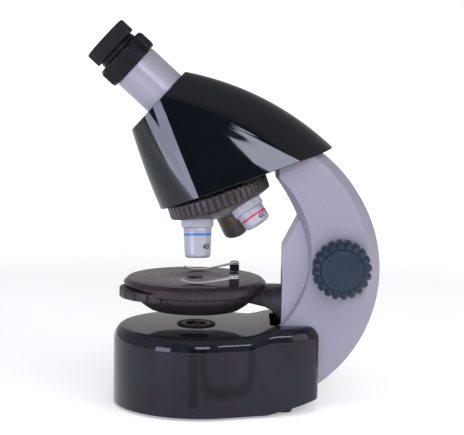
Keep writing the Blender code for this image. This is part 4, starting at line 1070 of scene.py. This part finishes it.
def build_zoom_ring(look, at):
    """A ring of raised panels, with fine half-round ribs along each of them."""
    panels, ribs = 8, 5
    profile = [(12.3, 23.0, 0), (15.6, 23.0, 0), (16.3, 23.15, 0.4), (16.75, 23.6, 0.85)]
    profile += [(16.85, 24.3, 1.05), (16.85, 32.8, 1.05), (16.7, 33.5, 0.95), (16.1, 34.2, 0.5)]
    profile += [(15.2, 34.5, 0), (12.3, 34.5, 0)]
    bm = ribbed(profile, panels, 40, lug_shape(0.6, 0.12), closed=True)
    finish("zoom_ring_body", bm, look, "zoom_ring", ["zoom_collar"], "dark", at, sharp=50)
    stations = ((24.2, 0.05), (24.6, 0.8), (25.1, 1.0), (32.2, 1.0), (32.7, 0.8), (33.1, 0.05))
    foot, rise, half, arch = 16.7, 0.5, 0.38, arc(1, 0, pi, 5)
    bm = bmesh.new()
    for panel in range(panels):
        for k in range(ribs):
            angle = tau * (panel + 0.3 + (k - 2) * 0.105) / panels
            out, side = around(angle), around(angle + pi / 2)
            rings = []
            for height, size in stations:
                lift = Vector((0, 0, height))
                rings.append([out * (foot + rise * size * y) + side * half * x + lift for x, y in arch])
            loft(rings, bm=bm)
    finish("zoom_ring_ribs", bm, look, "zoom_ring", [], "dark", at, sharp=50)


# ---------------- studio

def build_studio():
    """White surroundings for the camera, and a grey room with a dark front for everything else."""
    world = bpy.data.worlds.new("studio")
    bpy.context.scene.world = world
    world.use_nodes = True
    g = Graph(world.node_tree)
    _, y, z = g.split(g.put("ShaderNodeTexCoord").outputs["Generated"])

    def ramp(value, *ends):
        return g.ramp(value, *ends, interpolation_type="SMOOTHSTEP")

    walls, ceiling = ramp(y, -0.85, -0.35, 0.02, 0.38), ramp(z, 0.6, 0.95, 0.0, 0.42)
    behind = g.both(ramp(y, 0.3, 0.7, 0.0, 0.14), ramp(z, 0.3, 0.5, 1.0, 0.0))
    room = g.math("ADD", g.math("MAXIMUM", walls, ceiling), behind)
    mix = g.put("ShaderNodeMix")
    g.link(g.put("ShaderNodeLightPath").outputs["Is Camera Ray"], mix.inputs["Factor"])
    g.link(room, mix.inputs["A"])
    mix.inputs["B"].default_value = 1.08
    background = world.node_tree.nodes["Background"]
    g.link(mix.outputs["Result"], background.inputs["Strength"])
    background.inputs["Color"].default_value = (1.0, 0.95, 1.01, 1.0)


LIGHT_AIM, LIGHT_DISTANCE = Vector((0, 0, 0.13)), 1.3  # metres


def softbox(name, azimuth, elevation, size, level, colour=(1, 1, 1)):
    """A soft light seen from the object in one direction: azimuth from -Y towards +X, both in degrees."""
    data = bpy.data.lights.new(name, "AREA")
    data.shape = "RECTANGLE"
    data.size, data.size_y = size
    data.energy = level * pi * size[0] * size[1]
    data.color = colour
    lamp = in_scene(name, data)
    up = radians(elevation)
    away = around(radians(azimuth - 90), cos(up), sin(up))
    lamp.location = LIGHT_AIM + away * LIGHT_DISTANCE
    lamp.rotation_mode = "QUATERNION"
    lamp.rotation_quaternion = (-away).to_track_quat("-Z", "Y")
    return lamp


def build_lights():
    softbox("left strip", -46, 3, (0.48, 0.50), 9.6, (0.72, 0.74, 1.0))
    softbox("front patch", 8, 25, (0.42, 0.30), 11.5, (0.80, 0.83, 1.0))
    softbox("base right", 40, 31, (0.34, 0.16), 12.0)
    softbox("right box", 64, 18, (0.8, 0.8), 2.1, (1.0, 0.98, 0.96))
    softbox("front top", 0, 62, (1.2, 0.5), 2.6, (1.0, 0.99, 0.97)).visible_glossy = False


def build_floor():
    bm = bmesh.new()
    bmesh.ops.create_grid(bm, x_segments=8, y_segments=8, size=12000.0)
    finish("floor", bm, "floor", None)


def build_camera():
    """Camera 0.97 m in front of the near side, a little above the head and looking slightly down."""
    place = Vector((23.77 * MM, -0.969, 0.23713)) + Vector((AXIS_X * MM, 0, 0))
    yaw, pitch, roll = radians(-0.15), radians(7.417), radians(1.05)
    ahead = Vector((sin(yaw) * cos(pitch), cos(yaw) * cos(pitch), -sin(pitch)))
    level = Vector((cos(yaw), -sin(yaw), 0))
    above = level.cross(ahead)
    right = level * cos(roll) + above * sin(roll)
    up = above * cos(roll) - level * sin(roll)
    data = bpy.data.cameras.new("photo view")
    data.sensor_width = 36.0
    data.lens = 128.87
    camera = in_scene("photo view", data)
    camera.matrix_world = Matrix.Translation(place) @ Matrix((right, up, -ahead)).transposed().to_4x4()
    bpy.context.scene.camera = camera


# ---------------- nodes that keep their own mesh

def dress(node, look, round_by):
    """Give the node its material and, where round_by isn't 0, rounded edges."""
    node.data.materials.clear()
    node.data.materials.append(LOOKS[look])
    node.data.shade_smooth()
    node.data.set_sharp_from_angle(angle=radians(32))
    if round_by:
        weld = node.modifiers.new("weld", "WELD")
        weld.merge_threshold = 0.00001
        soften(node, round_by)


def dress_plain_nodes(nodes):
    screws = ["door_screw", "base_screw_1", "base_screw_2", "arm_screw_1", "arm_screw_2"]
    springs = ["battery_spring_1", "battery_spring_2", "detent_spring"]
    plain = (
        ("dark", 0.35, ["base_bottom_plate", "battery_door", "battery_tray"]),
        ("dark", 0.5, ["stage_bracket"]),
        ("dark", 0, ["head_frame"]),
        ("rubber", 0.3, [name for name in nodes if name.startswith("foot_")]),
        ("rubber", 0.35, ["power_switch"]),
        ("steel", 0, screws + springs + ["focus_shaft"]),
        ("nylon", 0, ["shaft_bush_near", "shaft_bush_far", "pinion", "focus_rack"]),
        ("cell", 0, ["battery_cell_1", "battery_cell_2"]),
        ("board", 0, ["lamp_board"]),
        ("led", 0, ["lamp_led"]),
        ("glass", 0, ["prism"]),
    )
    for look, round_by, names in plain:
        for name in names:
            dress(nodes[name], look, round_by)


def build():
    dress_plain_nodes(frame["nodes"])
    build_base()
    build_lamp()
    build_arm()
    build_rack_housing()
    build_knob("focus_knob_near", -1)
    build_knob("focus_knob_far", 1)
    build_stage()
    build_clips()
    build_turret()
    for name in OBJECTIVES:
        build_objective(name)
    build_hood()
    build_eyepiece()
    build_studio()
    build_lights()
    build_floor()
    build_camera()
    bpy.context.scene.view_settings.view_transform = "Standard"


build()
